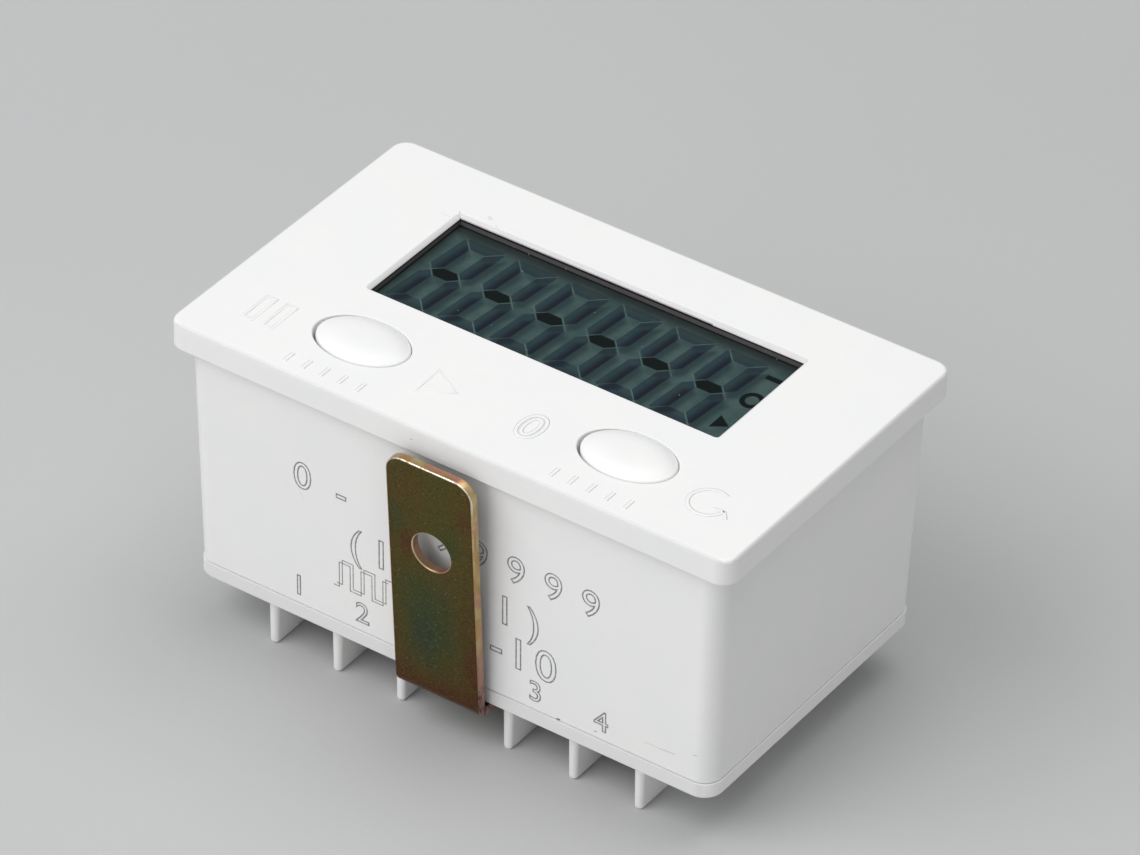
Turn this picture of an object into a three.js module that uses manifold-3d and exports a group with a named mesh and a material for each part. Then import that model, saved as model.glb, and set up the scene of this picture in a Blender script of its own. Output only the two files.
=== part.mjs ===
// Panel-mount digital counter with a six-digit display and two push buttons.
// Units are millimetres. +Z points out of the display, +X runs along the long side,
// and the near side (-Y) has the terminals. Z = 0 is the plane of the barrier tips.

import * as THREE from 'three';
import { mergeVertices } from 'three/addons/utils/BufferGeometryUtils.js';
import Module from 'manifold-3d';

const wasm = await Module();
wasm.setup();

// Driving dimensions

const flange = { width: 65, depth: 38.6, thickness: 2.9, cornerRadius: 1.85, edgeRadius: 0.15 };

const shell = {
  sideInset: 1.57, // from the flange's short sides to the body
  frontInset: 1.05, // from the flange's long sides to the body
  height: 25.75, // from the flange down to the joint with the cover
  draftDegrees: 1.25,
  wall: 1.8,
  panel: 2.0,
  panelAtDisplay: 0.95, // the panel is thinner where the display's frame enters it
  cornerRadius: 2.0,
  innerRadius: 1.1,
  lipRadius: 0.1, // rounding of the shell's lower edge
};

const cover = {
  proud: 0.12, // the rim stands out this far from the shell
  rim: 1.65,
  edgeRadius: 0.2,
  seam: 0.07, // open joint line under the shell
  lipHeight: 1.6,
  lipWall: 1.2,
  lipEndGap: 3.7, // from a lip's end to the corner post beside it
  bossWall: 1.55,
  bossCap: 1.2,
  bossTipGap: 0.42, // above the strap screw's tip
};

const barrier = {
  height: 5.54,
  thickness: 1.2, // at the cover
  taper: 0.12, // drawn in on each side at the tip
  tipRadius: 0.3,
  endRadius: 0.5,
  endInset: 0.83, // from the cover's long sides to a barrier's ends
  pitch: 7.655,
  strapGap: 0.76, // between the strap and the barriers beside it
  cornerRoom: 7.6, // kept free for the case screws, from the last barrier to the cover's end
};

// Margins of the flange round the window, each from the flange's edge
const windowHole = { left: 12.5, right: 12.14, front: 16.02, back: 7.66, bevel: 0.4, edge: 0.08 };

const button = {
  width: 10.1,
  depth: 7.1,
  gap: 0.15, // between the cap and its hole
  pauseInset: 17.27, // from the flange's left end to the cap's middle
  resetInset: 16.94, // from the flange's right end
  frontInset: 8.43,
  rimAbove: 0.1, // the cap's edge above the panel
  dome: 0.65,
  edgeRadius: 0.3,
  skirt: 0.9, // retaining lip, beyond the cap
  skirtThickness: 1.0,
  skirtPlay: 0.1, // between the lip and the panel's inner face
};

const tact = {
  size: 6.0,
  height: 3.5,
  plungerRadius: 1.6,
  plungerGap: 0.3,
  boreDepth: 2.2,
  plungerInside: 1.5,
  cornerRadius: 0.4,
  footWidth: 0.9,
  footReach: 1.0,
  footThickness: 0.25,
  footPlace: 2.2,
};

const board = {
  edgeGap: 0.6, // to the case's inner walls
  thickness: 1.6,
  top: 8.3, // below the flange's top face
  cornerRadius: 0.8,
};

const lcd = {
  lipBehind: 0.05, // the lip's inner face lies this far behind the window's edge
  face: 1.25, // polarizer's surface below the flange's top face
  lipWall: 0.35,
  lipGap: 0.1,
  polarizer: 0.15,
  polarizerGap: 0.1,
  glass: 1.1,
  reflector: 0.2,
  sideMargin: 1.0, // glass beyond the window at its short sides
  frontMargin: 1.4,
  backMargin: 2.3,
  frameWall: 1.0,
  glassGap: 0.3,
  stripWidth: 1.5,
  stripGap: 0.25, // from a strip to the glass edges beside it
  stripEndInset: 2.0,
};

const terminal = {
  endInset: 5.08, // from a barrier's near end to the screw
  sideGap: 0.25, // between a plate and the barriers
  plateDepth: 9.4,
  plateThickness: 0.8,
  plateShift: 1.2, // the plate's middle lies this far behind the screw
  stopDepth: 2.4, // the plate's rear end is thicker, as a stop for the wire
  stopRise: 0.3,
  tagWidth: 2.6,
  tagRise: 3.0,
  washerMargin: 0.1, // the washer is this much smaller than the plate on each side
  washerThickness: 0.8,
};

const screwM3 = { radius: 1.5, headRadius: 2.75, headHeight: 2.0, domeShoulder: 1.1, crossWidth: 0.75,
  crossLength: 3.2, crossDepth: 1.2, tipChamfer: 0.4 };
const terminalScrewShank = 6.4;
const bracketScrewShank = 11;

const strap = {
  width: 10,
  thickness: 1.0,
  sideGap: 0.58, // from the cover's side to the arm's inner corner
  leanDegrees: 4.21,
  armLength: 29.15,
  bendRadius: 1.5,
  tipRadius: 1.9,
  holeRadius: 2.2,
  holePlace: 18.95, // along the arm, from the outer corner
  slotRadius: 1.8,
};

const bracketWasher = { radius: 3.5, thickness: 0.5 };
const insert = { radius: 2.6, height: 6.0, recess: 0.3, grooveDepth: 0.2, grooveWidth: 1.2 };

const caseScrew = { inset: 4.8, postRadius: 2.9, postCap: 1.6, ribWidth: 1.2, tipGap: 2.3,
  seatDepth: 0.9, seatGap: 0.7, shank: 7.0 };
const screwM2 = { radius: 1.1, headRadius: 2.2, headHeight: 1.5, domeShoulder: 0.8, crossWidth: 0.6,
  crossLength: 2.6, crossDepth: 0.9, tipChamfer: 0.6 };
const boardScrew = { inset: 2.25, placeY: 1.5, postRadius: 2.3, tipGap: 0.65, shank: 5.6 };

const battery = { radius: 8, thickness: 3.2, placeX: 8, placeY: 2.2, rimRadius: 0.4 };
const holder = { wall: 1.2, floor: 1.3, gap: 0.6, wallHeight: 2.6, gateWidth: 9.6, clipWidth: 5,
  clipThickness: 0.3 };
const capacitor = { radius: 2.5, height: 7.0, placeX: -17, placeY: -2, rimRadius: 0.35,
  ventWidth: 0.3, ventDepth: 0.2 };

// Places along X of what lies on the board under the display, from the display's middle
const chip = { radius: 3.6, height: 1.4, placeX: -10 };
const crystal = { radius: 1.0, canLength: 6.2, placeX: -2.2, leadRadius: 0.2, leadLength: 1.6,
  leadPitch: 0.8, rimRadius: 0.2 };
const inputChip = { width: 4.9, depth: 3.9, height: 1.4, placeX: 9.5, legPitch: 1.27,
  legReach: 1.0, legWidth: 0.4, legThickness: 0.2, legRise: 0.6, cornerRadius: 0.15 };

const lead = { radius: 0.6, boardInset: 3.6, aside: 1.6, rise: 1.4, sweep: 4.0 };

const seat = 0.05; // gap between two pieces that rest on each other
const clearance = 0.3; // gap round a shank or a tag in its hole
const overrun = 1.0; // how far a cutting tool runs past the face that it cuts
const bond = 0.3; // how far two forms of one piece run into each other
const weldDistance = 1e-5; // vertices this close are one

// Counts

const cornerSteps = 4;
const filletSteps = 3;
const ovalSteps = 36;
const holeSteps = 20;
const headSteps = 20;
const screwSteps = 14;
const bendSteps = 6;
const leadSteps = 16;
const leadSides = 8;
const crownShares = [0.85, 0.66, 0.45, 0.22]; // rings of a button dome, of its oval

// Heights worked out from the sizes above

const coverFoot = barrier.height;
const shellFoot = coverFoot + cover.rim;
const caseFoot = shellFoot + cover.seam;
const flangeFoot = shellFoot + shell.height;
const top = flangeFoot + flange.thickness;
const panelInside = top - shell.panel;
const boardTop = top - board.top;
const boardFoot = boardTop - board.thickness;
const glassTop = top - lcd.face - lcd.polarizer - seat;
const frontGlassFoot = glassTop - lcd.glass;
const rearGlassFoot = frontGlassFoot - seat - lcd.glass;
const reflectorFoot = rearGlassFoot - seat - lcd.reflector;
const strapTop = coverFoot - seat;
const strapFoot = strapTop - strap.thickness;
const bracketWasherFoot = strapFoot - seat - bracketWasher.thickness;
const bracketScrewSeat = bracketWasherFoot - seat;
const bossInside = bracketScrewSeat + bracketScrewShank + cover.bossTipGap;
const caseScrewSeat = coverFoot + caseScrew.seatDepth - seat;
const casePilotTop = caseScrewSeat + caseScrew.shank + caseScrew.tipGap;
const boardScrewSeat = boardFoot - seat;
const boardPilotTop = boardScrewSeat + boardScrew.shank + boardScrew.tipGap;

// Plan sizes worked out from the sizes above

const draft = Math.tan(THREE.MathUtils.degToRad(shell.draftDegrees));
const bodyInset = (z) => (flangeFoot - z) * draft;

// Width and depth of the body at a height, less an inset on each side
function bodyPlan(z, inset = 0) {
  return {
    width: flange.width - 2 * (shell.sideInset + bodyInset(z) + inset),
    depth: flange.depth - 2 * (shell.frontInset + bodyInset(z) + inset),
  };
}

const coverPlan = bodyPlan(shellFoot, -cover.proud);
const coverInside = bodyPlan(shellFoot, shell.wall + clearance);
const boardPlan = bodyPlan(boardFoot, shell.wall + board.edgeGap);
const casePosts = {
  x: bodyPlan(flangeFoot).width / 2 - caseScrew.inset,
  y: bodyPlan(flangeFoot).depth / 2 - caseScrew.inset,
};
const boardScrewPlace = boardPlan.width / 2 - boardScrew.inset;

const windowPlan = {
  width: flange.width - windowHole.left - windowHole.right,
  depth: flange.depth - windowHole.front - windowHole.back,
  x: (windowHole.left - windowHole.right) / 2,
  y: (windowHole.front - windowHole.back) / 2,
};
const glassPlan = {
  width: windowPlan.width + 2 * lcd.sideMargin,
  front: windowPlan.y - windowPlan.depth / 2 - lcd.frontMargin,
  back: windowPlan.y + windowPlan.depth / 2 + lcd.backMargin,
};
const rearGlassBack = glassPlan.back - lcd.stripWidth - 2 * lcd.stripGap;
const frameOuter = {
  width: glassPlan.width + 2 * (lcd.glassGap + lcd.frameWall),
  front: glassPlan.front - lcd.glassGap - lcd.frameWall,
  back: glassPlan.back + lcd.glassGap + lcd.frameWall,
};
const lipInner = {
  width: windowPlan.width + 2 * lcd.lipBehind,
  depth: windowPlan.depth + 2 * lcd.lipBehind,
};
const windowCeiling = top - windowHole.bevel - windowHole.edge; // over the display's lip

const buttonPlaces = {
  pause: button.pauseInset - flange.width / 2,
  reset: flange.width / 2 - button.resetInset,
};
const buttonY = button.frontInset - flange.depth / 2;

// Barriers and terminals, as many on each side of the strap as the cover has room for
const firstBarrier = strap.width / 2 + barrier.strapGap + barrier.thickness / 2;
const terminalsPerSide = Math.floor(
  (coverPlan.width / 2 - barrier.cornerRoom - firstBarrier) / barrier.pitch,
);
const barrierEnd = coverPlan.depth / 2 - barrier.endInset;
const barrierPlaces = [];
const terminalPlaces = [];
for (let step = 0; step <= terminalsPerSide; step++) {
  const place = firstBarrier + step * barrier.pitch;
  barrierPlaces.push(-place, place);
  if (step < terminalsPerSide) {
    terminalPlaces.unshift(-place - barrier.pitch / 2);
    terminalPlaces.push(place + barrier.pitch / 2);
  }
}
const terminalY = terminal.endInset - barrierEnd;
const plateWidth = barrier.pitch - barrier.thickness - 2 * terminal.sideGap;
const washerSize = plateWidth - 2 * terminal.washerMargin;
const tagY = terminalY + terminal.plateShift + (terminal.plateDepth - terminal.plateThickness) / 2;
const tagTop = shellFoot + terminal.tagRise;
const washerFoot = coverFoot - 2 * seat - terminal.plateThickness - terminal.washerThickness;

// Corners of a rectangle, counter-clockwise from +X +Y
const cornerSigns = [[1, 1], [-1, 1], [-1, -1], [1, -1]];

// Geometry helpers

function solidOf(geometry) {
  const bare = geometry.index ? geometry.toNonIndexed() : geometry.clone();
  bare.deleteAttribute('normal');
  bare.deleteAttribute('uv');
  const merged = mergeVertices(bare, weldDistance);
  const mesh = new wasm.Mesh({
    numProp: 3,
    vertProperties: new Float32Array(merged.attributes.position.array),
    triVerts: new Uint32Array(merged.index.array),
  });
  return new wasm.Manifold(mesh);
}

function geometryOf(solid) {
  const mesh = solid.getMesh();
  const geometry = new THREE.BufferGeometry();
  geometry.setAttribute('position', new THREE.BufferAttribute(mesh.vertProperties, 3));
  geometry.setIndex(new THREE.BufferAttribute(mesh.triVerts, 1));
  geometry.computeVertexNormals();
  return geometry;
}

function join(solids) {
  return solids.reduce((whole, next) => whole.add(next));
}

function cut(solid, tools) {
  return tools.reduce((rest, tool) => rest.subtract(tool), solid);
}

// Points of a rectangle with round corners, counter-clockwise
function rectPoints(width, depth, radius) {
  const points = [];
  cornerSigns.forEach(([sx, sy], quarter) => {
    for (let i = 0; i <= cornerSteps; i++) {
      const angle = (quarter + i / cornerSteps) * Math.PI / 2;
      points.push(new THREE.Vector2(
        sx * (width / 2 - radius) + radius * Math.cos(angle),
        sy * (depth / 2 - radius) + radius * Math.sin(angle),
      ));
    }
  });
  return points;
}

function ovalPoints(width, depth) {
  const points = [];
  for (let i = 0; i < ovalSteps; i++) {
    const angle = 2 * Math.PI * i / ovalSteps;
    points.push(new THREE.Vector2(width / 2 * Math.cos(angle), depth / 2 * Math.sin(angle)));
  }
  return points;
}

// A closed solid through outlines with the same number of points, from the lowest up
function stack(rings) {
  const count = rings[0].points.length;
  const vertices = [];
  for (const ring of rings) {
    for (const p of ring.points) vertices.push(p.x, p.y, ring.z);
  }
  const index = [];
  for (let r = 0; r + 1 < rings.length; r++) {
    for (let i = 0; i < count; i++) {
      const a = r * count + i;
      const b = r * count + (i + 1) % count;
      index.push(a, b, b + count, a, b + count, a + count);
    }
  }
  const last = (rings.length - 1) * count;
  for (let i = 1; i + 1 < count; i++) {
    index.push(0, i + 1, i);
    index.push(last, last + i, last + i + 1);
  }
  const geometry = new THREE.BufferGeometry();
  geometry.setAttribute('position', new THREE.Float32BufferAttribute(vertices, 3));
  geometry.setIndex(index);
  return solidOf(geometry);
}

// A box standing on z
function block(width, depth, height, x, y, z) {
  const geometry = new THREE.BoxGeometry(width, depth, height);
  geometry.translate(x, y, z + height / 2);
  return solidOf(geometry);
}

// A round bar standing on z
function bar(radius, height, x, y, z, steps = holeSteps) {
  const geometry = new THREE.CylinderGeometry(radius, radius, height, steps);
  geometry.rotateX(Math.PI / 2);
  geometry.translate(x, y, z + height / 2);
  return solidOf(geometry);
}

// A turned solid about Z from [radius, z] pairs that start and end on the axis, listed upwards
function turned(profile, steps = headSteps) {
  const points = profile.map(([r, z]) => new THREE.Vector2(r, z));
  const geometry = new THREE.LatheGeometry(points, steps);
  geometry.rotateX(Math.PI / 2);
  return solidOf(geometry);
}

// Arc of a fillet between a wall and a face, as [inset, rise] pairs
function filletPairs(radius, steps = filletSteps) {
  const pairs = [];
  for (let i = 0; i <= steps; i++) {
    const angle = Math.PI / 2 * i / steps;
    pairs.push([radius * (1 - Math.cos(angle)), radius * Math.sin(angle)]);
  }
  return pairs;
}

function rectRing(z, plan, radius, inset = 0, x = 0) {
  const shift = new THREE.Vector2(x, 0);
  const points = rectPoints(plan.width - 2 * inset, plan.depth - 2 * inset, radius - inset);
  return { z, points: points.map((p) => p.add(shift)) };
}

function ovalRing(z, plan, inset = 0, x = 0, y = 0) {
  const shift = new THREE.Vector2(x, y);
  const points = ovalPoints(plan.width - 2 * inset, plan.depth - 2 * inset);
  return { z, points: points.map((p) => p.add(shift)) };
}

// A pan-head screw whose head's seat is at z = 0, its head below and its shank above
function panScrew(size, shank) {
  const { radius, headRadius, headHeight, domeShoulder, tipChamfer } = size;
  const head = [];
  for (let i = 0; i <= filletSteps; i++) {
    const angle = Math.PI / 2 * i / filletSteps;
    head.push([
      headRadius * Math.sin(angle),
      -domeShoulder - (headHeight - domeShoulder) * Math.cos(angle),
    ]);
  }
  const profile = [
    ...head,
    [headRadius, 0],
    [radius, 0],
    [radius, shank - tipChamfer],
    [radius - tipChamfer, shank],
    [0, shank],
  ];
  const depth = size.crossDepth + overrun;
  const foot = -headHeight - overrun;
  return cut(turned(profile, screwSteps), [
    block(size.crossLength, size.crossWidth, depth, 0, 0, foot),
    block(size.crossWidth, size.crossLength, depth, 0, 0, foot),
  ]);
}

// Materials

function material(color, roughness, metalness = 0) {
  return new THREE.MeshStandardMaterial({ color, roughness, metalness });
}

const looks = {
  casePlastic: () => material(0xf1f1f0, 0.45),
  buttonPlastic: () => material(0xf4f4f3, 0.38),
  darkPlastic: () => material(0x3c393c, 0.6),
  display: () => material(0x33463f, 0.25),
  glass: () => material(0xa9bdb6, 0.1),
  reflector: () => material(0x7e8a84, 0.5, 0.4),
  rubber: () => material(0x9a8fa0, 0.8),
  foam: () => material(0x2d2d2f, 0.9),
  board: () => material(0x1f5a35, 0.55),
  blackPlastic: () => material(0x141414, 0.5),
  steel: () => material(0xc4c7cc, 0.3, 1),
  brass: () => material(0xb9964a, 0.35, 1),
  yellowZinc: () => material(0x5a4f22, 0.4, 0.9),
  wire: (color) => material(color, 0.5),
};

const counter = new THREE.Group();

function addPiece(parent, name, solid, look) {
  const mesh = new THREE.Mesh(geometryOf(solid), look);
  mesh.name = name;
  parent.add(mesh);
  return mesh;
}

// Case

// Round posts for the case screws, tied to the walls by two ribs each
function casePostSolids() {
  const height = casePilotTop + caseScrew.postCap - caseFoot;
  return cornerSigns.flatMap(([sx, sy]) => {
    const x = sx * casePosts.x;
    const y = sy * casePosts.y;
    const reach = caseScrew.inset;
    return [
      bar(caseScrew.postRadius, height, x, y, caseFoot),
      block(reach, caseScrew.ribWidth, height, x + sx * reach / 2, y, caseFoot),
      block(caseScrew.ribWidth, reach, height, x, y + sy * reach / 2, caseFoot),
    ];
  });
}

function boardPostSolids() {
  const foot = boardTop + seat;
  return [-1, 1].map((side) => bar(
    boardScrew.postRadius, panelInside + bond - foot, side * boardScrewPlace, boardScrew.placeY, foot,
  ));
}

// The window, wider under its edge for the lip of the display's frame
function windowCut() {
  const ring = (z, grow) => ({
    z,
    points: cornerSigns.map(([sx, sy]) => new THREE.Vector2(
      windowPlan.x + sx * (windowPlan.width / 2 + grow),
      windowPlan.y + sy * (windowPlan.depth / 2 + grow),
    )),
  });
  const { bevel } = windowHole;
  const rebate = lcd.lipBehind + lcd.lipWall + lcd.lipGap;
  return stack([
    ring(panelInside - overrun, rebate), ring(windowCeiling, rebate), ring(windowCeiling, 0),
    ring(top - bevel, 0), ring(top, bevel), ring(top + overrun, bevel),
  ]);
}

function caseSolid() {
  const bodyRing = (z, inset = 0) => rectRing(z, bodyPlan(z), shell.cornerRadius, inset);
  const lowerEdge = filletPairs(shell.lipRadius).reverse()
    .map(([inset, rise]) => bodyRing(caseFoot + shell.lipRadius - rise, inset));
  const body = stack([...lowerEdge, bodyRing(flangeFoot + bond)]);
  const plate = stack([
    rectRing(flangeFoot, flange, flange.cornerRadius),
    ...filletPairs(flange.edgeRadius).map(([inset, rise]) => rectRing(
      top - flange.edgeRadius + rise, flange, flange.cornerRadius, inset,
    )),
  ]);

  const hollow = stack([caseFoot - overrun, panelInside].map(
    (z) => rectRing(z, bodyPlan(z, shell.wall), shell.innerRadius),
  ));
  const bodyHull = stack([bodyRing(caseFoot), bodyRing(top)]);
  const posts = join([...casePostSolids(), ...boardPostSolids()]).intersect(bodyHull);

  const pilotRadius = screwM2.radius + clearance;
  const casePilots = cornerSigns.map(([sx, sy]) => bar(
    pilotRadius, casePilotTop - caseFoot + overrun, sx * casePosts.x, sy * casePosts.y, caseFoot - overrun,
  ));
  const boardPilots = [-1, 1].map((side) => bar(
    pilotRadius, boardPilotTop - boardTop + overrun,
    side * boardScrewPlace, boardScrew.placeY, boardTop - overrun,
  ));
  const holes = Object.values(buttonPlaces).map((x) => stack([panelInside - overrun, top + overrun]
    .map((z) => ovalRing(z, button, -button.gap, x, buttonY))));
  const displayRecess = sheet(
    frameOuter.front - clearance, frameOuter.back + clearance,
    top - shell.panelAtDisplay - panelInside + overrun, panelInside - overrun,
    frameOuter.width + 2 * clearance,
  );

  const hollowed = cut(join([body, plate]), [hollow]);
  return cut(join([hollowed, posts]), [
    ...casePilots, ...boardPilots, displayRecess, windowCut(), ...holes,
  ]);
}

// Upright wall with round ends and a round tip, running along Y
function barrierSolid(x) {
  const { height, thickness, taper, tipRadius, endRadius } = barrier;
  const plan = { width: thickness, depth: 2 * barrierEnd };
  const ring = (z, inset) => rectRing(z, plan, endRadius, inset, x);
  const tip = filletPairs(tipRadius).reverse()
    .map(([inset, rise]) => ring(tipRadius - rise, taper + inset));
  return stack([...tip, ring(height + bond, 0)]);
}

// Rear cover: a rimmed plate with a locating lip, the barriers and a boss for the strap's insert
function coverSolid() {
  const radius = shell.cornerRadius + cover.proud;
  const plate = stack([
    ...filletPairs(cover.edgeRadius).reverse().map(([inset, rise]) => rectRing(
      coverFoot + cover.edgeRadius - rise, coverPlan, radius, inset,
    )),
    rectRing(shellFoot, coverPlan, radius),
  ]);

  const lipFoot = shellFoot - bond;
  const lipRise = cover.lipHeight + bond;
  const lipRoom = caseScrew.postRadius + cover.lipEndGap;
  const lips = [-1, 1].flatMap((side) => [
    block(2 * (casePosts.x - lipRoom), cover.lipWall, lipRise,
      0, side * (coverInside.depth - cover.lipWall) / 2, lipFoot),
    block(cover.lipWall, 2 * (casePosts.y - lipRoom), lipRise,
      side * (coverInside.width - cover.lipWall) / 2, 0, lipFoot),
  ]);

  const pocketRadius = insert.radius + seat;
  const boss = bar(
    pocketRadius + cover.bossWall, bossInside + cover.bossCap - lipFoot, 0, 0, lipFoot, headSteps,
  );

  const depth = cover.rim + 2 * overrun;
  const foot = coverFoot - overrun;
  const terminalHoles = terminalPlaces.flatMap((x) => [
    bar(screwM3.radius + clearance, depth, x, terminalY, foot),
    block(
      terminal.tagWidth + 2 * clearance, terminal.plateThickness + 2 * clearance, depth, x, tagY, foot,
    ),
  ]);
  const caseHoles = cornerSigns.flatMap(([sx, sy]) => {
    const x = sx * casePosts.x;
    const y = sy * casePosts.y;
    return [
      bar(screwM2.radius + clearance, depth, x, y, foot),
      bar(screwM2.headRadius + caseScrew.seatGap, caseScrew.seatDepth + overrun, x, y, foot),
    ];
  });
  const insertPocket = bar(
    pocketRadius, bossInside - coverFoot + overrun, 0, 0, coverFoot - overrun, headSteps,
  );

  const whole = join([plate, ...lips, boss, ...barrierPlaces.map(barrierSolid)]);
  return cut(whole, [...terminalHoles, ...caseHoles, insertPocket]);
}

// Push buttons and the switches under them

const skirtTop = panelInside - button.skirtPlay;
const skirtFoot = skirtTop - button.skirtThickness;

function buttonSolid() {
  const rim = top + button.rimAbove;
  const skirt = stack([skirtFoot, skirtTop].map((z) => ovalRing(z, button, -button.skirt)));
  const edge = filletPairs(button.edgeRadius)
    .map(([inset, rise]) => ovalRing(rim - button.edgeRadius + rise, button, inset));
  const crownPlan = (share) => ({
    width: (button.width - 2 * button.edgeRadius) * share,
    depth: (button.depth - 2 * button.edgeRadius) * share,
  });
  const crown = crownShares
    .map((share) => ovalRing(rim + button.dome * (1 - share * share), crownPlan(share)));
  return join([skirt, stack([ovalRing(skirtTop - bond, button), ...edge, ...crown])]);
}

const switchFoot = boardTop + seat;
const switchTop = switchFoot + tact.height;

function switchSolid() {
  const plan = { width: tact.size, depth: tact.size };
  const body = stack([switchFoot, switchTop].map((z) => rectRing(z, plan, tact.cornerRadius)));
  const bore = bar(
    tact.plungerRadius + tact.plungerGap, tact.boreDepth + overrun, 0, 0, switchTop - tact.boreDepth,
  );
  const feet = cornerSigns.map(([sx, sy]) => block(
    tact.footReach + bond, tact.footWidth, tact.footThickness,
    sx * (tact.size + tact.footReach - bond) / 2, sy * tact.footPlace, switchFoot,
  ));
  return cut(join([body, ...feet]), [bore]);
}

function plungerSolid() {
  const foot = switchTop - tact.plungerInside;
  return bar(tact.plungerRadius, skirtFoot - seat - foot, 0, 0, foot, holeSteps);
}

// Display, between the panel and the board

// A flat box under the window, by its front and back edges
function sheet(front, back, thickness, foot, width = glassPlan.width) {
  return block(width, back - front, thickness, windowPlan.x, (front + back) / 2, foot);
}

function frameSolid() {
  const foot = boardTop + seat;
  const shoulder = top - shell.panelAtDisplay - seat;
  const ring = sheet(frameOuter.front, frameOuter.back, shoulder - foot, foot, frameOuter.width);
  const lip = block(
    lipInner.width + 2 * lcd.lipWall, lipInner.depth + 2 * lcd.lipWall,
    windowCeiling - seat - shoulder + bond, windowPlan.x, windowPlan.y, shoulder - bond,
  );
  const sight = block(
    lipInner.width, lipInner.depth, top + overrun - foot, windowPlan.x, windowPlan.y, foot,
  );
  const pocket = sheet(
    glassPlan.front - lcd.glassGap, glassPlan.back + lcd.glassGap, glassTop + seat - foot + overrun,
    foot - overrun, glassPlan.width + 2 * lcd.glassGap,
  );
  return cut(join([ring, lip]), [sight, pocket]);
}

function polarizerSolid() {
  return block(
    lipInner.width - 2 * lcd.polarizerGap, lipInner.depth - 2 * lcd.polarizerGap, lcd.polarizer,
    windowPlan.x, windowPlan.y, glassTop + seat,
  );
}

// Elastomer strip that stands on the board and bears on a glass edge
function stripSolid(front, bearing) {
  const foot = boardTop + seat;
  return sheet(
    front, front + lcd.stripWidth, bearing - seat - foot, foot, glassPlan.width - 2 * lcd.stripEndInset,
  );
}

// Board and what it carries

function boardSolid() {
  const plate = stack([boardFoot, boardTop].map((z) => rectRing(z, boardPlan, board.cornerRadius)));
  const holes = [-1, 1].map((side) => bar(
    screwM2.radius + clearance, board.thickness + 2 * overrun,
    side * boardScrewPlace, boardScrew.placeY, boardFoot - overrun,
  ));
  return cut(plate, holes);
}

// Round blob of resin over the counter's chip
function chipSolid() {
  const profile = [[0, 0]];
  for (let i = 0; i <= bendSteps; i++) {
    const angle = Math.PI / 2 * i / bendSteps;
    profile.push([chip.radius * Math.cos(angle), chip.height * Math.sin(angle)]);
  }
  return turned(profile);
}

// A can with two leads, upright with its leads down
function crystalSolid() {
  const { radius, canLength, rimRadius, leadRadius, leadLength, leadPitch } = crystal;
  const can = turned([
    [0, 0], [radius, 0], [radius, canLength - rimRadius], [radius - rimRadius, canLength],
    [0, canLength],
  ]);
  const leads = [-1, 1].map((side) => bar(
    leadRadius, leadLength + bond, 0, side * leadPitch / 2, -leadLength, leadSides,
  ));
  return join([can, ...leads]);
}

function capacitorSolid() {
  const { radius, height, rimRadius, ventWidth, ventDepth } = capacitor;
  const can = turned([
    [0, -height], [radius - rimRadius, -height], [radius, rimRadius - height], [radius, 0], [0, 0],
  ]);
  const vents = [[2 * radius, ventWidth], [ventWidth, 2 * radius]].map(([w, d]) => block(
    w, d, ventDepth + overrun, 0, 0, -height - overrun,
  ));
  return cut(can, vents);
}

// Eight-legged input chip
function inputChipSolid() {
  const { depth, height, legPitch, legReach, legWidth, legThickness, legRise } = inputChip;
  const body = stack([legThickness, height].map(
    (z) => rectRing(z, inputChip, inputChip.cornerRadius),
  ));
  const legs = [-1, 1].flatMap((side) => [-1.5, -0.5, 0.5, 1.5].flatMap((step) => [
    block(legWidth, legReach, legThickness, step * legPitch, side * (depth + legReach) / 2, 0),
    block(legWidth, legThickness + bond, legRise, step * legPitch,
      side * (depth + legThickness - bond) / 2, 0),
  ]));
  return join([body, ...legs]);
}

// Battery in its holder, with z = 0 where the holder meets the board and X, Y from the cell's axis

const holderInside = -holder.floor - seat;
const cellFoot = holderInside - battery.thickness;

function holderSolid() {
  const outer = battery.radius + holder.gap + holder.wall;
  const height = holder.floor + holder.wallHeight;
  const whole = bar(outer, height, 0, 0, -height, ovalSteps);
  const pocket = bar(
    battery.radius + holder.gap, holder.wallHeight + overrun, 0, 0, -height - overrun, ovalSteps,
  );
  const gates = [-1, 1].map((side) => block(
    holder.gateWidth, 2 * holder.wall + 2 * overrun, holder.wallHeight + overrun,
    0, side * outer, -height - overrun,
  ));
  return cut(whole, [pocket, ...gates]);
}

function batterySolid() {
  const { radius, thickness, rimRadius } = battery;
  const cellTop = cellFoot + thickness;
  return turned([
    [0, cellFoot], [radius - rimRadius, cellFoot], [radius, cellFoot + rimRadius], [radius, cellTop],
    [0, cellTop],
  ], ovalSteps);
}

// Flat spring strap under the cell, with two legs up to the board
function clipSolid() {
  const legPlace = battery.radius + holder.gap + holder.clipThickness / 2;
  const foot = cellFoot - seat - holder.clipThickness;
  const span = block(
    holder.clipWidth, 2 * legPlace + holder.clipThickness, holder.clipThickness, 0, 0, foot,
  );
  const legs = [-1, 1].map((side) => block(
    holder.clipWidth, holder.clipThickness, holderInside - foot, 0, side * legPlace, foot,
  ));
  return join([span, ...legs]);
}

// Terminals

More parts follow.
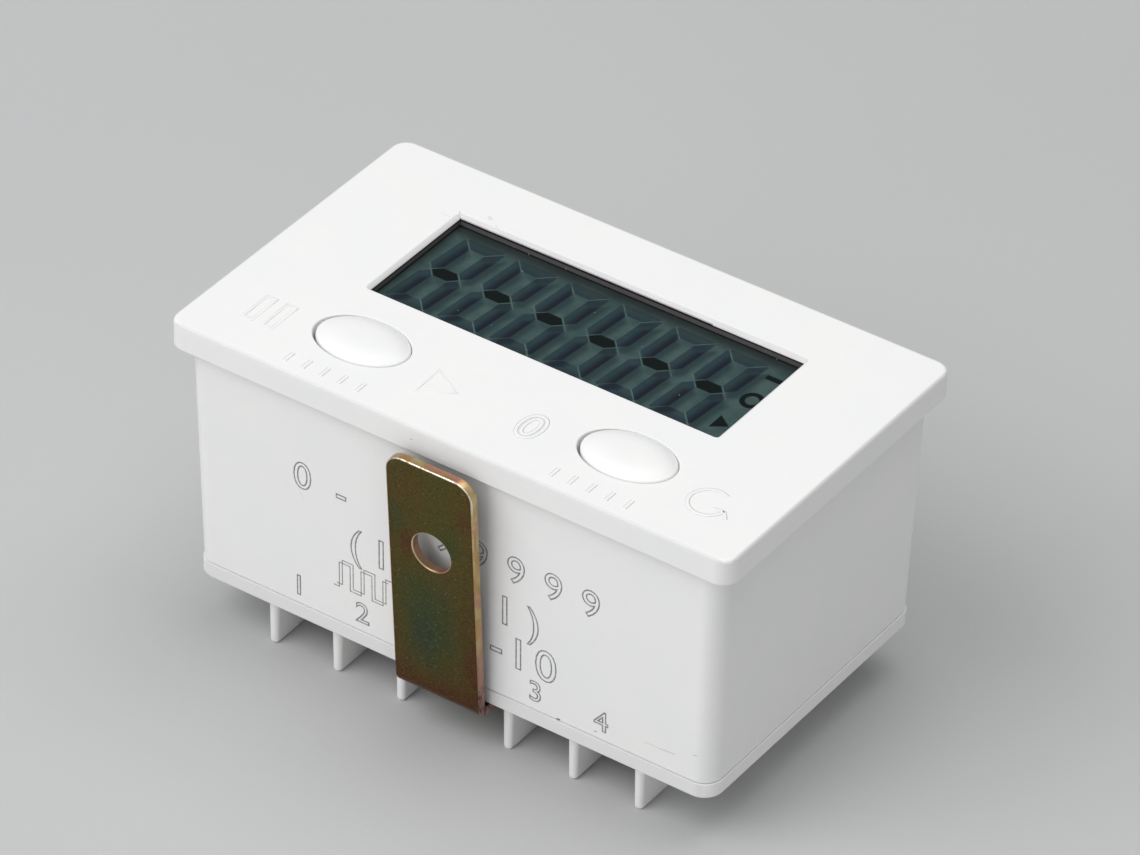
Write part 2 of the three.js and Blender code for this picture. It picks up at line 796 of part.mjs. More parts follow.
function terminalPlateSolid(x) {
  const { plateDepth, plateThickness, plateShift, stopDepth, stopRise, tagWidth } = terminal;
  const foot = coverFoot - seat - plateThickness;
  const plate = block(plateWidth, plateDepth, plateThickness, x, terminalY + plateShift, foot);
  const stop = block(
    plateWidth, stopDepth, plateThickness + stopRise,
    x, terminalY + plateShift + (plateDepth - stopDepth) / 2, foot - stopRise,
  );
  const tag = block(tagWidth, plateThickness, tagTop - foot, x, tagY, foot);
  const hole = bar(
    screwM3.radius + clearance, plateThickness + 2 * overrun, x, terminalY, foot - overrun,
  );
  return cut(join([plate, stop, tag]), [hole]);
}

function terminalWasherSolid() {
  const { washerThickness } = terminal;
  const plate = block(washerSize, washerSize, washerThickness, 0, 0, 0);
  const hole = bar(screwM3.radius + clearance, washerThickness + 2 * overrun, 0, 0, -overrun);
  return cut(plate, [hole]);
}

// Insulated lead from a terminal's tag up to the board
function leadSolid(x) {
  const start = tagTop + clearance;
  const boardX = x + Math.sign(x) * lead.aside;
  const boardY = lead.boardInset - boardPlan.depth / 2;
  const route = new THREE.CatmullRomCurve3([
    new THREE.Vector3(x, tagY, start),
    new THREE.Vector3(x, tagY, start + lead.rise),
    new THREE.Vector3(boardX, boardY, start + lead.rise + lead.sweep),
    new THREE.Vector3(boardX, boardY, boardFoot - clearance),
  ]);
  const section = new THREE.Shape();
  for (let i = 0; i < leadSides; i++) {
    const angle = 2 * Math.PI * i / leadSides;
    const x1 = lead.radius * Math.cos(angle);
    const y1 = lead.radius * Math.sin(angle);
    if (i === 0) section.moveTo(x1, y1);
    else section.lineTo(x1, y1);
  }
  const geometry = new THREE.ExtrudeGeometry(section, {
    steps: leadSteps, extrudePath: route, bevelEnabled: false,
  });
  return solidOf(geometry);
}

// Mounting strap: a foot under the cover and two arms that lean out

const lean = THREE.MathUtils.degToRad(strap.leanDegrees);
const footHalf = coverPlan.depth / 2 + strap.sideGap + strap.thickness;
const bendTangent = strap.bendRadius * Math.tan((Math.PI / 2 - lean) / 2);

// Outer and inner face of the strap's far half in the plane of Y and Z, from the foot to the tip
function strapHalfOutline() {
  const { thickness, armLength, bendRadius } = strap;
  const along = new THREE.Vector2(Math.sin(lean), Math.cos(lean));
  const inward = new THREE.Vector2(-Math.cos(lean), Math.sin(lean));
  const centre = new THREE.Vector2(footHalf - bendTangent, strapFoot + bendRadius);
  const arc = (radius) => {
    const points = [];
    for (let i = 0; i <= bendSteps; i++) {
      const angle = -Math.PI / 2 + (Math.PI / 2 - lean) * i / bendSteps;
      points.push(new THREE.Vector2(Math.cos(angle), Math.sin(angle)).multiplyScalar(radius).add(centre));
    }
    return points;
  };
  const outerTip = new THREE.Vector2(footHalf, strapFoot).addScaledVector(along, armLength);
  const innerTip = outerTip.clone().addScaledVector(inward, thickness);
  return { outer: [...arc(bendRadius), outerTip], inner: [...arc(bendRadius - thickness), innerTip] };
}

// Turns a tool drawn with X across the arm, Y along it and Z through it to the arm's place
function placeOnArm(geometry, side) {
  geometry.rotateX(Math.PI / 2);
  geometry.rotateX(lean);
  geometry.translate(0, -footHalf, strapFoot);
  if (side > 0) geometry.rotateZ(Math.PI);
  return solidOf(geometry);
}

function armTools(side) {
  const { width, thickness, armLength, tipRadius, holeRadius, holePlace } = strap;
  const depth = thickness + 2 * overrun;
  const corners = [-1, 1].map((hand) => {
    const points = [
      new THREE.Vector2(width / 2 + overrun, armLength + overrun),
      new THREE.Vector2(width / 2 - tipRadius, armLength + overrun),
    ];
    for (let i = 0; i <= bendSteps; i++) {
      const angle = Math.PI / 2 * (1 - i / bendSteps);
      points.push(new THREE.Vector2(
        width / 2 - tipRadius + tipRadius * Math.cos(angle),
        armLength - tipRadius + tipRadius * Math.sin(angle),
      ));
    }
    points.push(new THREE.Vector2(width / 2 + overrun, armLength - tipRadius));
    const shape = new THREE.Shape(points.map((p) => new THREE.Vector2(hand * p.x, p.y)));
    const geometry = new THREE.ExtrudeGeometry(shape, { depth, bevelEnabled: false });
    geometry.translate(0, 0, -depth / 2 - thickness / 2);
    return placeOnArm(geometry, side);
  });
  const hole = new THREE.CylinderGeometry(holeRadius, holeRadius, depth, headSteps);
  hole.rotateX(Math.PI / 2);
  hole.translate(0, holePlace, -thickness / 2);
  return [...corners, placeOnArm(hole, side)];
}

function strapSolid() {
  const { outer, inner } = strapHalfOutline();
  const mirrored = (points) => points.map((p) => new THREE.Vector2(-p.x, p.y));
  const outline = new THREE.Shape([
    ...mirrored(outer).reverse(), ...outer, ...inner.reverse(), ...mirrored(inner).reverse(),
  ]);
  const geometry = new THREE.ExtrudeGeometry(outline, { depth: strap.width, bevelEnabled: false });
  // The outline's axes become Y and Z, and the width runs along X
  geometry.rotateX(Math.PI / 2);
  geometry.rotateZ(Math.PI / 2);
  geometry.translate(-strap.width / 2, 0, 0);
  const slot = bar(strap.slotRadius, strap.thickness + 2 * overrun, 0, 0, strapFoot - overrun);
  return cut(solidOf(geometry), [slot, ...armTools(-1), ...armTools(1)]);
}

function insertSolid() {
  const foot = coverFoot + insert.recess;
  const middle = foot + (insert.height - insert.grooveWidth) / 2;
  const body = bar(insert.radius, insert.height, 0, 0, foot, headSteps);
  const bore = bar(screwM3.radius + clearance, insert.height + 2 * overrun, 0, 0, foot - overrun);
  const groove = cut(
    bar(insert.radius + overrun, insert.grooveWidth, 0, 0, middle, headSteps),
    [bar(insert.radius - insert.grooveDepth, insert.height, 0, 0, foot, headSteps)],
  );
  return cut(body, [bore, groove]);
}

function washerSolid() {
  const ring = bar(bracketWasher.radius, bracketWasher.thickness, 0, 0, 0, headSteps);
  const hole = bar(screwM3.radius + clearance, bracketWasher.thickness + 2 * overrun, 0, 0, -overrun);
  return cut(ring, [hole]);
}

// Assembly

addPiece(counter, 'front_case', caseSolid(), looks.casePlastic());
addPiece(counter, 'rear_cover', coverSolid(), looks.casePlastic());

for (const [name, x] of Object.entries(buttonPlaces)) {
  const group = new THREE.Group();
  group.position.set(x, buttonY, 0);
  counter.add(group);
  addPiece(group, `${name}_button`, buttonSolid(), looks.buttonPlastic());
  addPiece(group, `${name}_plunger`, plungerSolid(), looks.blackPlastic());
  addPiece(group, `${name}_switch`, switchSolid(), looks.steel());
}

const display = new THREE.Group();
counter.add(display);
addPiece(display, 'lcd_frame', frameSolid(), looks.darkPlastic());
addPiece(display, 'lcd_front_polarizer', polarizerSolid(), looks.display());
addPiece(display, 'lcd_front_glass', sheet(
  glassPlan.front, glassPlan.back, lcd.glass, frontGlassFoot,
), looks.glass());
addPiece(display, 'lcd_rear_glass', sheet(
  glassPlan.front, rearGlassBack, lcd.glass, rearGlassFoot,
), looks.glass());
addPiece(display, 'lcd_reflector', sheet(
  glassPlan.front, rearGlassBack, lcd.reflector, reflectorFoot,
), looks.reflector());
addPiece(display, 'contact_strip', stripSolid(
  glassPlan.back - lcd.stripGap - lcd.stripWidth, frontGlassFoot,
), looks.rubber());
addPiece(display, 'support_strip', stripSolid(
  glassPlan.front + lcd.stripGap, reflectorFoot,
), looks.foam());

addPiece(counter, 'main_board', boardSolid(), looks.board());

// Under the display, on the board
const onBoard = new THREE.Group();
onBoard.position.set(windowPlan.x, windowPlan.y, boardTop + seat);
counter.add(onBoard);
addPiece(onBoard, 'controller_chip', chipSolid(), looks.blackPlastic()).position.x = chip.placeX;
addPiece(onBoard, 'input_chip', inputChipSolid(), looks.blackPlastic()).position.x = inputChip.placeX;
const crystalCan = addPiece(onBoard, 'crystal', crystalSolid(), looks.steel());
crystalCan.position.set(crystal.placeX, 0, crystal.radius);
crystalCan.rotation.y = Math.PI / 2; // the can lies along X

// Under the board
const underBoard = new THREE.Group();
underBoard.position.z = boardFoot - seat;
counter.add(underBoard);
for (const [name, solid, look, place] of [
  ['capacitor', capacitorSolid(), looks.blackPlastic(), capacitor],
  ['battery_holder', holderSolid(), looks.blackPlastic(), battery],
  ['battery', batterySolid(), looks.steel(), battery],
  ['battery_clip', clipSolid(), looks.steel(), battery],
]) {
  addPiece(underBoard, name, solid, look).position.set(place.placeX, place.placeY, 0);
}

[-1, 1].forEach((side, i) => {
  const screw = addPiece(counter, `board_screw_${i + 1}`, panScrew(screwM2, boardScrew.shank),
    looks.steel());
  screw.position.set(side * boardScrewPlace, boardScrew.placeY, boardScrewSeat);
});
cornerSigns.forEach(([sx, sy], i) => {
  const screw = addPiece(counter, `case_screw_${i + 1}`, panScrew(screwM2, caseScrew.shank),
    looks.steel());
  screw.position.set(sx * casePosts.x, sy * casePosts.y, caseScrewSeat);
});

const leadColors = [0xa32020, 0x202428, 0x1f4fa0, 0xc9b02a];
terminalPlaces.forEach((x, i) => {
  const number = i + 1;
  addPiece(counter, `terminal_plate_${number}`, terminalPlateSolid(x), looks.brass());
  addPiece(counter, `lead_${number}`, leadSolid(x), looks.wire(leadColors[i % leadColors.length]));
  const group = new THREE.Group();
  group.position.set(x, terminalY, washerFoot);
  counter.add(group);
  addPiece(group, `terminal_washer_${number}`, terminalWasherSolid(), looks.steel());
  const screw = addPiece(group, `terminal_screw_${number}`, panScrew(screwM3, terminalScrewShank),
    looks.steel());
  screw.position.set(0, 0, -seat);
});

addPiece(counter, 'mounting_bracket', strapSolid(), looks.yellowZinc());
addPiece(counter, 'bracket_insert', insertSolid(), looks.brass());
const fastening = new THREE.Group();
fastening.position.z = bracketWasherFoot;
counter.add(fastening);
addPiece(fastening, 'bracket_washer', washerSolid(), looks.steel());
const bracketScrew = addPiece(fastening, 'bracket_screw', panScrew(screwM3, bracketScrewShank),
  looks.steel());
bracketScrew.position.z = -seat;

export default counter;
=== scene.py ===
"""Looks of a small panel-mount counter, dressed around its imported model.

Sizes are in millimetres in the model's frame: +Z out of the display, +X along the long
side, the near side (-Y) with the terminals. Finished meshes are in metres.
"""
import math

import bmesh
import bpy
from mathutils import Matrix, Vector
from mathutils.geometry import delaunay_2d_cdt


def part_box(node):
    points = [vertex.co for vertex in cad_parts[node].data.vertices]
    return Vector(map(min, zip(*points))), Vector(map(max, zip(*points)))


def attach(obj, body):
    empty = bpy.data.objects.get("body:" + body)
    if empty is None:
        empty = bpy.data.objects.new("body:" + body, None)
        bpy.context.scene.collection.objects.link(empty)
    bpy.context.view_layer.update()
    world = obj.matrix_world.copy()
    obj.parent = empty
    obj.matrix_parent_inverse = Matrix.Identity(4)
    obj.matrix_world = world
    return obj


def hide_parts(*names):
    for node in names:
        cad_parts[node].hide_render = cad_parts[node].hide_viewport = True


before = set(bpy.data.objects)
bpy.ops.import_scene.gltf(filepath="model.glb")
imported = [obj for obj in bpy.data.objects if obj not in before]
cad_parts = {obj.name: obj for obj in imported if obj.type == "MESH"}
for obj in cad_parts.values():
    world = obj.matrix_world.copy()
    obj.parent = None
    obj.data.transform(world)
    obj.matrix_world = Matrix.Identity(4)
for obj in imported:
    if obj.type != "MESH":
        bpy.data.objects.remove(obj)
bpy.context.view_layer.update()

MM = 0.001  # a millimetre in the frame's metres
TAU = 2 * math.pi
OVERRUN = 1.0  # how far a cutting solid runs past what it cuts

# Sizes of the real object, where a node's box doesn't give them

FLANGE = {"thickness": 2.9, "corner": 1.85, "top_edge": 0.42, "foot_edge": 0.12}
SHELL = {"side_inset": 1.57, "front_inset": 1.05, "draft_degrees": 1.25, "wall": 1.8, "panel": 2.0,
         "corner": 2.0, "foot_edge": 0.1, "panel_at_display": 0.95}
COVER = {"foot": 5.54, "rim": 1.65, "edge": 0.2, "proud": 0.12, "ledge": 0.03, "well_gap": 0.7,
         "well_depth": 0.9, "well_edge": 0.12, "insert_gap": 0.05, "insert_edge": 0.15}
TAG_SLOT = {"width": 3.2, "depth": 1.4, "corner": 0.1, "inset": 0.4}
BARRIER = {"thickness": 1.2, "taper": 0.12, "end_inset": 0.83, "pitch": 7.655, "first": 6.36,
           "edge": 0.3, "end": 0.58, "root": 0.5}
WINDOW = {"left": 12.5, "right": 12.14, "front": 16.02, "back": 7.66, "corner": 0.12, "bevel": 0.4,
          "edge": 0.06, "land": 0.02, "rebate": 0.5, "step_x": 9.8, "step": 0.07, "step_corner": 0.02,
          "recess_gap": 0.6, "recess_corner": 0.2}
BUTTON = {"width": 10.1, "depth": 7.1, "gap_x": 0.22, "gap_y": 0.1, "hole_left": 0.13, "hole_front": 0.03,
          "hole_edge": 0.14, "rim_above": 0.1, "edge": 0.3, "skirt": 0.9, "skirt_thickness": 1.0,
          "skirt_edge": 0.1, "crown": 3.6}
DISPLAY = {"corner": 0.15, "edge": 0.04}
STRAP = {"width": 10.0, "thickness": 1.0, "bend": 1.5, "lean_degrees": 4.21, "arm": 29.15, "tip": 1.9,
         "hole": 2.2, "hole_place": 18.95, "slot": 1.8, "edge": 0.16, "side_gap": 0.58, "margin": 0.4}
SCREW_M3 = {"radius": 1.5, "head": 2.75, "head_height": 2.0, "shoulder": 1.1, "cross": 3.2,
            "cross_width": 0.62, "cross_depth": 1.2, "pitch": 0.5}
SCREW_M2 = {"radius": 1.1, "head": 2.2, "head_height": 1.5, "shoulder": 0.8, "cross": 2.6,
            "cross_width": 0.5, "cross_depth": 0.9, "pitch": 0.7}
SCREW_GAP = 0.3  # between a screw's shank and its hole
WASHER = {"edge": 0.1, "corner": 0.5}
TERMINALS = range(1, 5)
BUTTONS = ("pause_button", "reset_button")

# Digits of the display, in the plane of its face
DIGIT = {"count": 6, "first_x": -16.34, "middle_y": 4.06, "pitch": 6.17, "slant": 0.0875,
         "half_width": 2.42, "inner": 0.92, "half_height": 6.3, "bar": 1.45, "gap": 0.11,
         "dash_half_height": 0.78, "dash_half_width": 1.58, "shadow_x": 0.75, "shadow_y": -0.85,
         "shadow_blur": 0.52, "line": 0.11}

# Plain signs at the display's right end: a bar, a ring and a triangle that points right
MARKS = {"bar_x": 19.2, "bar_y": 8.68, "bar_half": 1.2, "bar_line": 0.34,
         "ring_x": 19.05, "ring_y": 4.65, "ring_outer": 1.2, "ring_inner": 0.66, "ring_squash": 0.93,
         "tip_x": 19.6, "tip_y": -0.1, "tip_slope": 0.7, "tip_back": 18.0}

# Thin outlined print on the front: half a line's width, its rise, and rows of plain numbers and signs,
# each by the height of its middle, the height of its digits, and pairs of a text and its middle in X
PRINT = {"line": 0.08, "rise": 0.015, "digit_share": 0.73}
PRINT_ROWS = {
    "range": (23.3, 3.3, (("0", -17.2), ("-", -12.6), ("9", -4.8), ("9", -0.6), ("9", 3.6), ("9", 7.9),
                          ("9", 12.2), ("9", 16.5))),
    "ratio": (17.9, 3.6, (("(", -11.0), ("1", -7.9), (":", 0.0), ("1", 6.6), (")", 10.0))),
    "rate": (13.3, 3.9, (("1", 3.0), ("-", 5.6), ("1", 8.2), ("0", 11.4))),
    "terminals": (9.6, 2.5, (("1", -17.84), ("2", -10.2), ("3", 10.2), ("4", 17.84))),
}
PULSE = {"x": -13.4, "z": 13.3, "height": 3.0, "step": 1.3, "count": 5, "apart": 0.36}

# Raised signs on the panel: half a stroke, its rise, and the places of the signs beside each button
SIGN = {"line": 0.22, "rise": 0.032, "size": 4.0, "aside": 10.0, "y": -12.4, "bar_x": 1.2, "bar_half": 0.55,
        "play_share": 0.7, "turn_start": 60, "turn_sweep": 290, "barbs": ((-1.1, -0.55), (0.75, -1.35)),
        "ticks_y": -17.1, "tick": 1.5, "tick_pitch": 2.1, "tick_count": 5}

# Marks of handling, as hairlines between two places: half their width and how dark they are
HAIRS = [
    ((-20.4, 12.1, 35.84), (-20.0, 11.6, 35.8), 0.05, 0.55),
    ((-21.6, 10.85, 35.84), (-20.6, 10.85, 35.84), 0.05, 0.2),
    ((-18.6, 11.6, 35.84), (-18.0, 10.8, 35.4), 0.06, 0.7),
    ((-17.5, 13.1, 35.84), (-17.2, 12.9, 35.84), 0.28, 0.14),
    ((-16.2, 12.3, 35.84), (-15.2, 11.8, 35.84), 0.05, 0.25),
    ((-8.95, 12.0, 35.84), (-8.5, 11.3, 35.7), 0.045, 0.6),
    ((5.14, -10.57, 35.9), (5.27, -10.3, 35.9), 0.07, 0.5),
    ((22.84, -17.74, 9.41), (24.3, -17.74, 9.43), 0.045, 0.3),
    ((24.5, -17.74, 9.42), (26.28, -17.74, 9.57), 0.055, 0.42),
    ((28.4, -17.76, 10.5), (28.8, -17.76, 10.6), 0.06, 0.4),
    ((12.7, -17.7, 7.3), (13.0, -17.7, 7.4), 0.16, 0.85),
    ((17.1, -17.7, 7.95), (17.3, -17.7, 8.0), 0.09, 0.6),
    ((-27.5, -17.7, 6.68), (-27.4, -17.7, 6.7), 0.1, 0.5),
    ((-17.5, -18.0, 21.1), (-17.0, -18.0, 20.3), 0.07, 0.12),
    ((-3.6, -19.3, 34.4), (-3.4, -19.3, 34.4), 0.08, 0.4),
]

CAMERA = {"place": (321.29, -474.06, 450.855), "azimuth": 34.007, "elevation": 36.582, "roll": 1.464,
          "lens": 233.97, "sensor": 36.0}


def mm_box(node):
    """Lowest and highest corner of a node at rest, in millimetres."""
    low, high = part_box(node)
    return low / MM, high / MM


def middle_of(node):
    """Middle of a node in plan."""
    low, high = mm_box(node)
    return (low.x + high.x) / 2, (low.y + high.y) / 2


case_low, case_high = mm_box("front_case")
TOP = case_high.z
FLANGE_WIDTH = case_high.x - case_low.x
FLANGE_DEPTH = case_high.y - case_low.y
FLANGE_FOOT = TOP - FLANGE["thickness"]
PANEL_INSIDE = TOP - SHELL["panel"]
DRAFT = math.tan(math.radians(SHELL["draft_degrees"]))
WINDOW_X = (WINDOW["left"] - WINDOW["right"]) / 2
WINDOW_Y = (WINDOW["front"] - WINDOW["back"]) / 2
WINDOW_WIDTH = FLANGE_WIDTH - WINDOW["left"] - WINDOW["right"]
WINDOW_DEPTH = FLANGE_DEPTH - WINDOW["front"] - WINDOW["back"]


def body_plan(z, inset=0.0):
    """Width and depth of the body at a height, less an inset on each side."""
    lean_in = (FLANGE_FOOT - z) * DRAFT + inset
    return (FLANGE_WIDTH - 2 * (SHELL["side_inset"] + lean_in),
            FLANGE_DEPTH - 2 * (SHELL["front_inset"] + lean_in))


COVER_TOP = COVER["foot"] + COVER["rim"]
COVER_WIDTH, COVER_DEPTH = body_plan(COVER_TOP, -COVER["proud"])


# Mesh helpers, drawing in millimetres

def add_object(name, data):
    obj = bpy.data.objects.new(name, data)
    bpy.context.scene.collection.objects.link(obj)
    return obj


def mesh_object(name, bm):
    bmesh.ops.recalc_face_normals(bm, faces=bm.faces)
    bmesh.ops.scale(bm, vec=(MM, MM, MM), verts=bm.verts)
    mesh = bpy.data.meshes.new(name)
    bm.to_mesh(mesh)
    bm.free()
    return add_object(name, mesh)


def finished_mesh(obj):
    """The mesh of an object with its modifiers or bevel applied."""
    bpy.context.view_layer.update()
    depsgraph = bpy.context.evaluated_depsgraph_get()
    return bpy.data.meshes.new_from_object(obj.evaluated_get(depsgraph))


def rounded_rect(width, depth, radius, steps=10, x=0, y=0):
    points = []
    for quarter, (sx, sy) in enumerate(((1, 1), (-1, 1), (-1, -1), (1, -1))):
        for i in range(steps + 1):
            angle = (quarter + i / steps) * TAU / 4
            points.append((x + sx * (width / 2 - radius) + radius * math.cos(angle),
                           y + sy * (depth / 2 - radius) + radius * math.sin(angle)))
    return points


def oval(width, depth, steps, x=0, y=0):
    return [(x + width / 2 * math.cos(TAU * i / steps), y + depth / 2 * math.sin(TAU * i / steps))
            for i in range(steps)]


def circle(radius, steps, x=0, y=0):
    return oval(2 * radius, 2 * radius, steps, x, y)


def fillet(radius, steps):
    """Pairs of inset and rise from a wall, up and in to a face."""
    return [(radius * (1 - math.cos(TAU / 4 * i / steps)), radius * math.sin(TAU / 4 * i / steps))
            for i in range(steps + 1)]


def rounded_foot(z, radius, steps):
    """Pairs of height and inset up a rounded edge that starts at a height."""
    return [(z + radius - rise, inset) for inset, rise in reversed(fillet(radius, steps))]


def rounded_top(z, radius, steps):
    """Pairs of height and inset up a rounded edge that ends at a height."""
    return [(z - radius + rise, inset) for inset, rise in fillet(radius, steps)]


def bridge(bm, lower, upper):
    """A band of faces between two closed rows of one point count."""
    for i in range(len(lower)):
        j = (i + 1) % len(lower)
        bm.faces.new((lower[i], lower[j], upper[j], upper[i]))


def stack_object(name, *solids):
    """Closed solids, each through rings of one point count, given as pairs of height and points."""
    bm = bmesh.new()
    for rings in solids:
        loops = [[bm.verts.new((x, y, z)) for x, y in points] for z, points in rings]
        for lower, upper in zip(loops, loops[1:]):
            bridge(bm, lower, upper)
        bm.faces.new(loops[0][::-1])
        bm.faces.new(loops[-1])
    return mesh_object(name, bm)


def prism(points, *heights):
    """Rings of a straight solid."""
    return [(z, points) for z in heights]


def block(width, depth, corner, levels, steps=10, x=0, y=0):
    """Rings of a solid with a rounded plan, from pairs of height and inset."""
    return [(z, rounded_rect(width - 2 * inset, depth - 2 * inset, corner - inset, steps, x, y))
            for z, inset in levels]


def turned_rings(profile, steps, x=0, y=0):
    """Rings of a turned solid, from pairs of radius and height."""
    return [(z, circle(radius, steps, x, y)) for radius, z in profile]


def combine(obj, operation, *tools):
    for tool in tools:
        modifier = obj.modifiers.new(operation, "BOOLEAN")
        modifier.operation = operation
        modifier.solver = "EXACT"
        modifier.object = tool
        mesh = finished_mesh(obj)
        obj.modifiers.clear()
        obj.data = mesh
        bpy.data.objects.remove(tool)
    return obj


def smooth(obj, degrees=32):
    obj.data.shade_smooth()
    obj.data.set_sharp_from_angle(angle=math.radians(degrees))
    modifier = obj.modifiers.new("weighted", "WEIGHTED_NORMAL")
    modifier.keep_sharp = True
    return obj


# Node materials

def feed(tree, socket, value):
    """Links a field to a socket, or sets a plain value."""
    if isinstance(value, Field):
        tree.links.new(value.socket, socket)
    else:
        socket.default_value = value


def add_node(tree, kind, output, inputs, **settings):
    """Adds a node, fills the named or numbered inputs and gives one output as a field."""
    node = tree.nodes.new(f"ShaderNode{kind}")
    for name, value in settings.items():
        setattr(node, name, value)
    for name, value in inputs.items():
        feed(tree, node.inputs[name], value)
    return Field(tree, node.outputs[output])


class Field:
    """A number, place or colour worked out over a surface. Sums and products become Math nodes."""

    def __init__(self, tree, socket):
        self.tree = tree
        self.socket = socket

    def math(self, operation, *others):
        return add_node(self.tree, "Math", 0, dict(enumerate((self, *others))), operation=operation)

    def __add__(self, other):
        return self.math("ADD", other)

    def __sub__(self, other):
        return self.math("SUBTRACT", other)

    def __mul__(self, other):
        return self.math("MULTIPLY", other)

    def __neg__(self):
        return self.math("MULTIPLY", -1)

    def __abs__(self):
        return self.math("ABSOLUTE")

    def most(self, other):
        return self.math("MAXIMUM", other)

    def least(self, other):
        return self.math("MINIMUM", other)

    def ramp(self, start, end):
        """0 before start and 1 after end, with an eased change between."""
        limits = (start, end, 0, 1) if start < end else (end, start, 1, 0)
        inputs = dict(zip(("Value", "From Min", "From Max", "To Min", "To Max"), (self, *limits)))
        return add_node(self.tree, "MapRange", 0, inputs, interpolation_type="SMOOTHSTEP")


class Finish:
    """Builds a node material in steps, with fields in millimetres."""

    def __init__(self, name):
        self.material = bpy.data.materials.new(name)
        self.material.use_nodes = True
        self.tree = self.material.node_tree
        self.shader = self.tree.nodes["Principled BSDF"]
        place = add_node(self.tree, "TexCoord", "Object", {})
        self.place = self.vector("MULTIPLY", place, (1 / MM, 1 / MM, 1 / MM))
        self.x, self.y, self.z = (add_node(self.tree, "SeparateXYZ", axis, {0: self.place}) for axis in "XYZ")

    def pattern(self, kind, output, size, stretch, shift, **inputs):
        """A texture with features about size millimetres wide."""
        scale = [1 / (size * s) for s in stretch]
        place = add_node(self.tree, "Mapping", 0, {0: self.place, "Location": [shift] * 3, "Scale": scale})
        return add_node(self.tree, kind, output, {"Vector": place, "Scale": 1, **inputs})

    def noise(self, size, detail=3.0, stretch=(1, 1, 1), shift=0.0):
        """Soft noise from 0 to 1."""
        return self.pattern("TexNoise", "Fac", size, stretch, shift, Detail=detail)

    def specks(self, spacing, radius, shift):
        """Round specks, 1 inside, scattered about one to each spacing."""
        distance = self.pattern("TexVoronoi", "Distance", spacing, (1, 1, 1), shift)
        return distance.ramp(radius / spacing, 0.5 * radius / spacing)

    def vector(self, operation, *values, output="Vector"):
        """A vector node's result, for places as fields or triples."""
        return add_node(self.tree, "VectorMath", output, dict(enumerate(values)), operation=operation)

    def near(self, place, radii):
        """Distance from a place, as a share of a radius for each axis."""
        offset = self.vector("DIVIDE", self.vector("SUBTRACT", self.place, place), radii)
        return self.vector("LENGTH", offset, output="Value")

    def hairline(self, start, end, half_width):
        """1 near a straight line between two places."""
        along = Vector(end) - Vector(start)
        offset = self.vector("SUBTRACT", self.place, start)
        share = self.vector("DOT_PRODUCT", offset, along / along.length_squared, output="Value")
        gap = self.vector("SUBTRACT", offset, self.vector("MULTIPLY", share.most(0).least(1), along))
        return self.vector("LENGTH", gap, output="Value").ramp(half_width, 0.4 * half_width)

    def attribute(self, name):
        return add_node(self.tree, "Attribute", "Fac", {}, attribute_name=name)

    def blend(self, share, first, second):
        """A colour between two, each an RGB triple or an earlier blend."""
        first, second = ((*c, 1) if isinstance(c, tuple) else c for c in (first, second))
        return add_node(self.tree, "Mix", 2, {0: share, 6: first, 7: second}, data_type="RGBA")

    def layers(self, base, *coats):
        """A base colour under coats, each a share and a colour."""
        for share, colour in coats:
            base = self.blend(share, base, colour)
        return base

    def set(self, **values):
        """Fills the shader's sockets, with underscores for the spaces in their names."""
        for name, value in values.items():
            feed(self.tree, self.shader.inputs[name.replace("_", " ")], value)

    def bump(self, height, depth):
        """Relief of the given depth in millimetres."""
        inputs = {"Strength": 1, "Distance": depth * MM, "Height": height}
        self.set(Normal=add_node(self.tree, "Bump", 0, inputs))
        return self


def white_plastic(name, tone, gloss, grain_depth, hairs=(), shade=None):
    """Moulded white plastic: fine spark grain, faint flow tint, dust and a few marks of handling, and painted
    shade where a shade function is given.
    """
    f = Finish(name)
    flow = f.noise(9, 2.0, shift=3)
    cloud = f.noise(1.6, 3.0, shift=8)
    dust = f.specks(2.6, 0.05, 1.0) * f.noise(6, 2.0, shift=11).ramp(0.52, 0.64)
    warm, cool, dull = (tuple(tone * share for share in shares) for shares in (
        (1.0, 0.998, 0.99), (0.982, 0.985, 0.99), (0.975, 0.972, 0.965)))
    base = f.layers(warm, (flow.ramp(0.35, 0.65), cool), (cloud.ramp(0.45, 0.7) * 0.3, dull),
                    (dust * 0.4, (0.25, 0.24, 0.23)))
    # Painted shade from the given function.
    if shade:
        base = shade(f, base)
    for start, end, half_width, strength in hairs:
        base = f.blend(f.hairline(start, end, half_width) * strength, base, (0.03, 0.03, 0.035))
    f.set(Base_Color=base, Roughness=f.noise(4, 4.0, shift=5) * 0.16 + gloss, Specular_IOR_Level=0.42)
    return f.bump(f.noise(0.16, 2.0), grain_depth).material


def case_painted_shade(f, base):
    """Painted shade on the window's bevel, mostly at the back, and on the flange's rounded edge."""
    # Painted shade on the window's bevel: grey, strongest at its back side and uneven.
    plan = (abs(f.x - WINDOW_X) - WINDOW_WIDTH / 2).most(abs(f.y - WINDOW_Y) - WINDOW_DEPTH / 2)
    ring = plan.ramp(0.7, 0.5) * f.z.ramp(TOP - 0.01, TOP - 0.06) * f.z.ramp(TOP - 0.8, TOP - 0.5)
    back = (f.y - WINDOW_Y - WINDOW_DEPTH / 2).ramp(-0.1, 0.02)
    patchy = f.noise(1.1, 2.0, (2.5, 1, 1), shift=6).ramp(0.3, 0.7) * 0.35 + 0.8
    base = f.blend(ring * (back * 0.38 + 0.04) * patchy, base, (0.45, 0.44, 0.46))
    # Painted shade on the flange's rounded top edge: a dimmer tone that tones down the lamps' band of light
    # there.
    outside = (abs(f.x) - FLANGE_WIDTH / 2).most(abs(f.y) - FLANGE_DEPTH / 2)
    rounded = FLANGE["top_edge"]
    edge = outside.ramp(-rounded, -0.5 * rounded) * f.z.ramp(TOP - rounded, TOP - 0.5 * rounded)
    return f.blend(edge, base, (0.722, 0.722, 0.722))


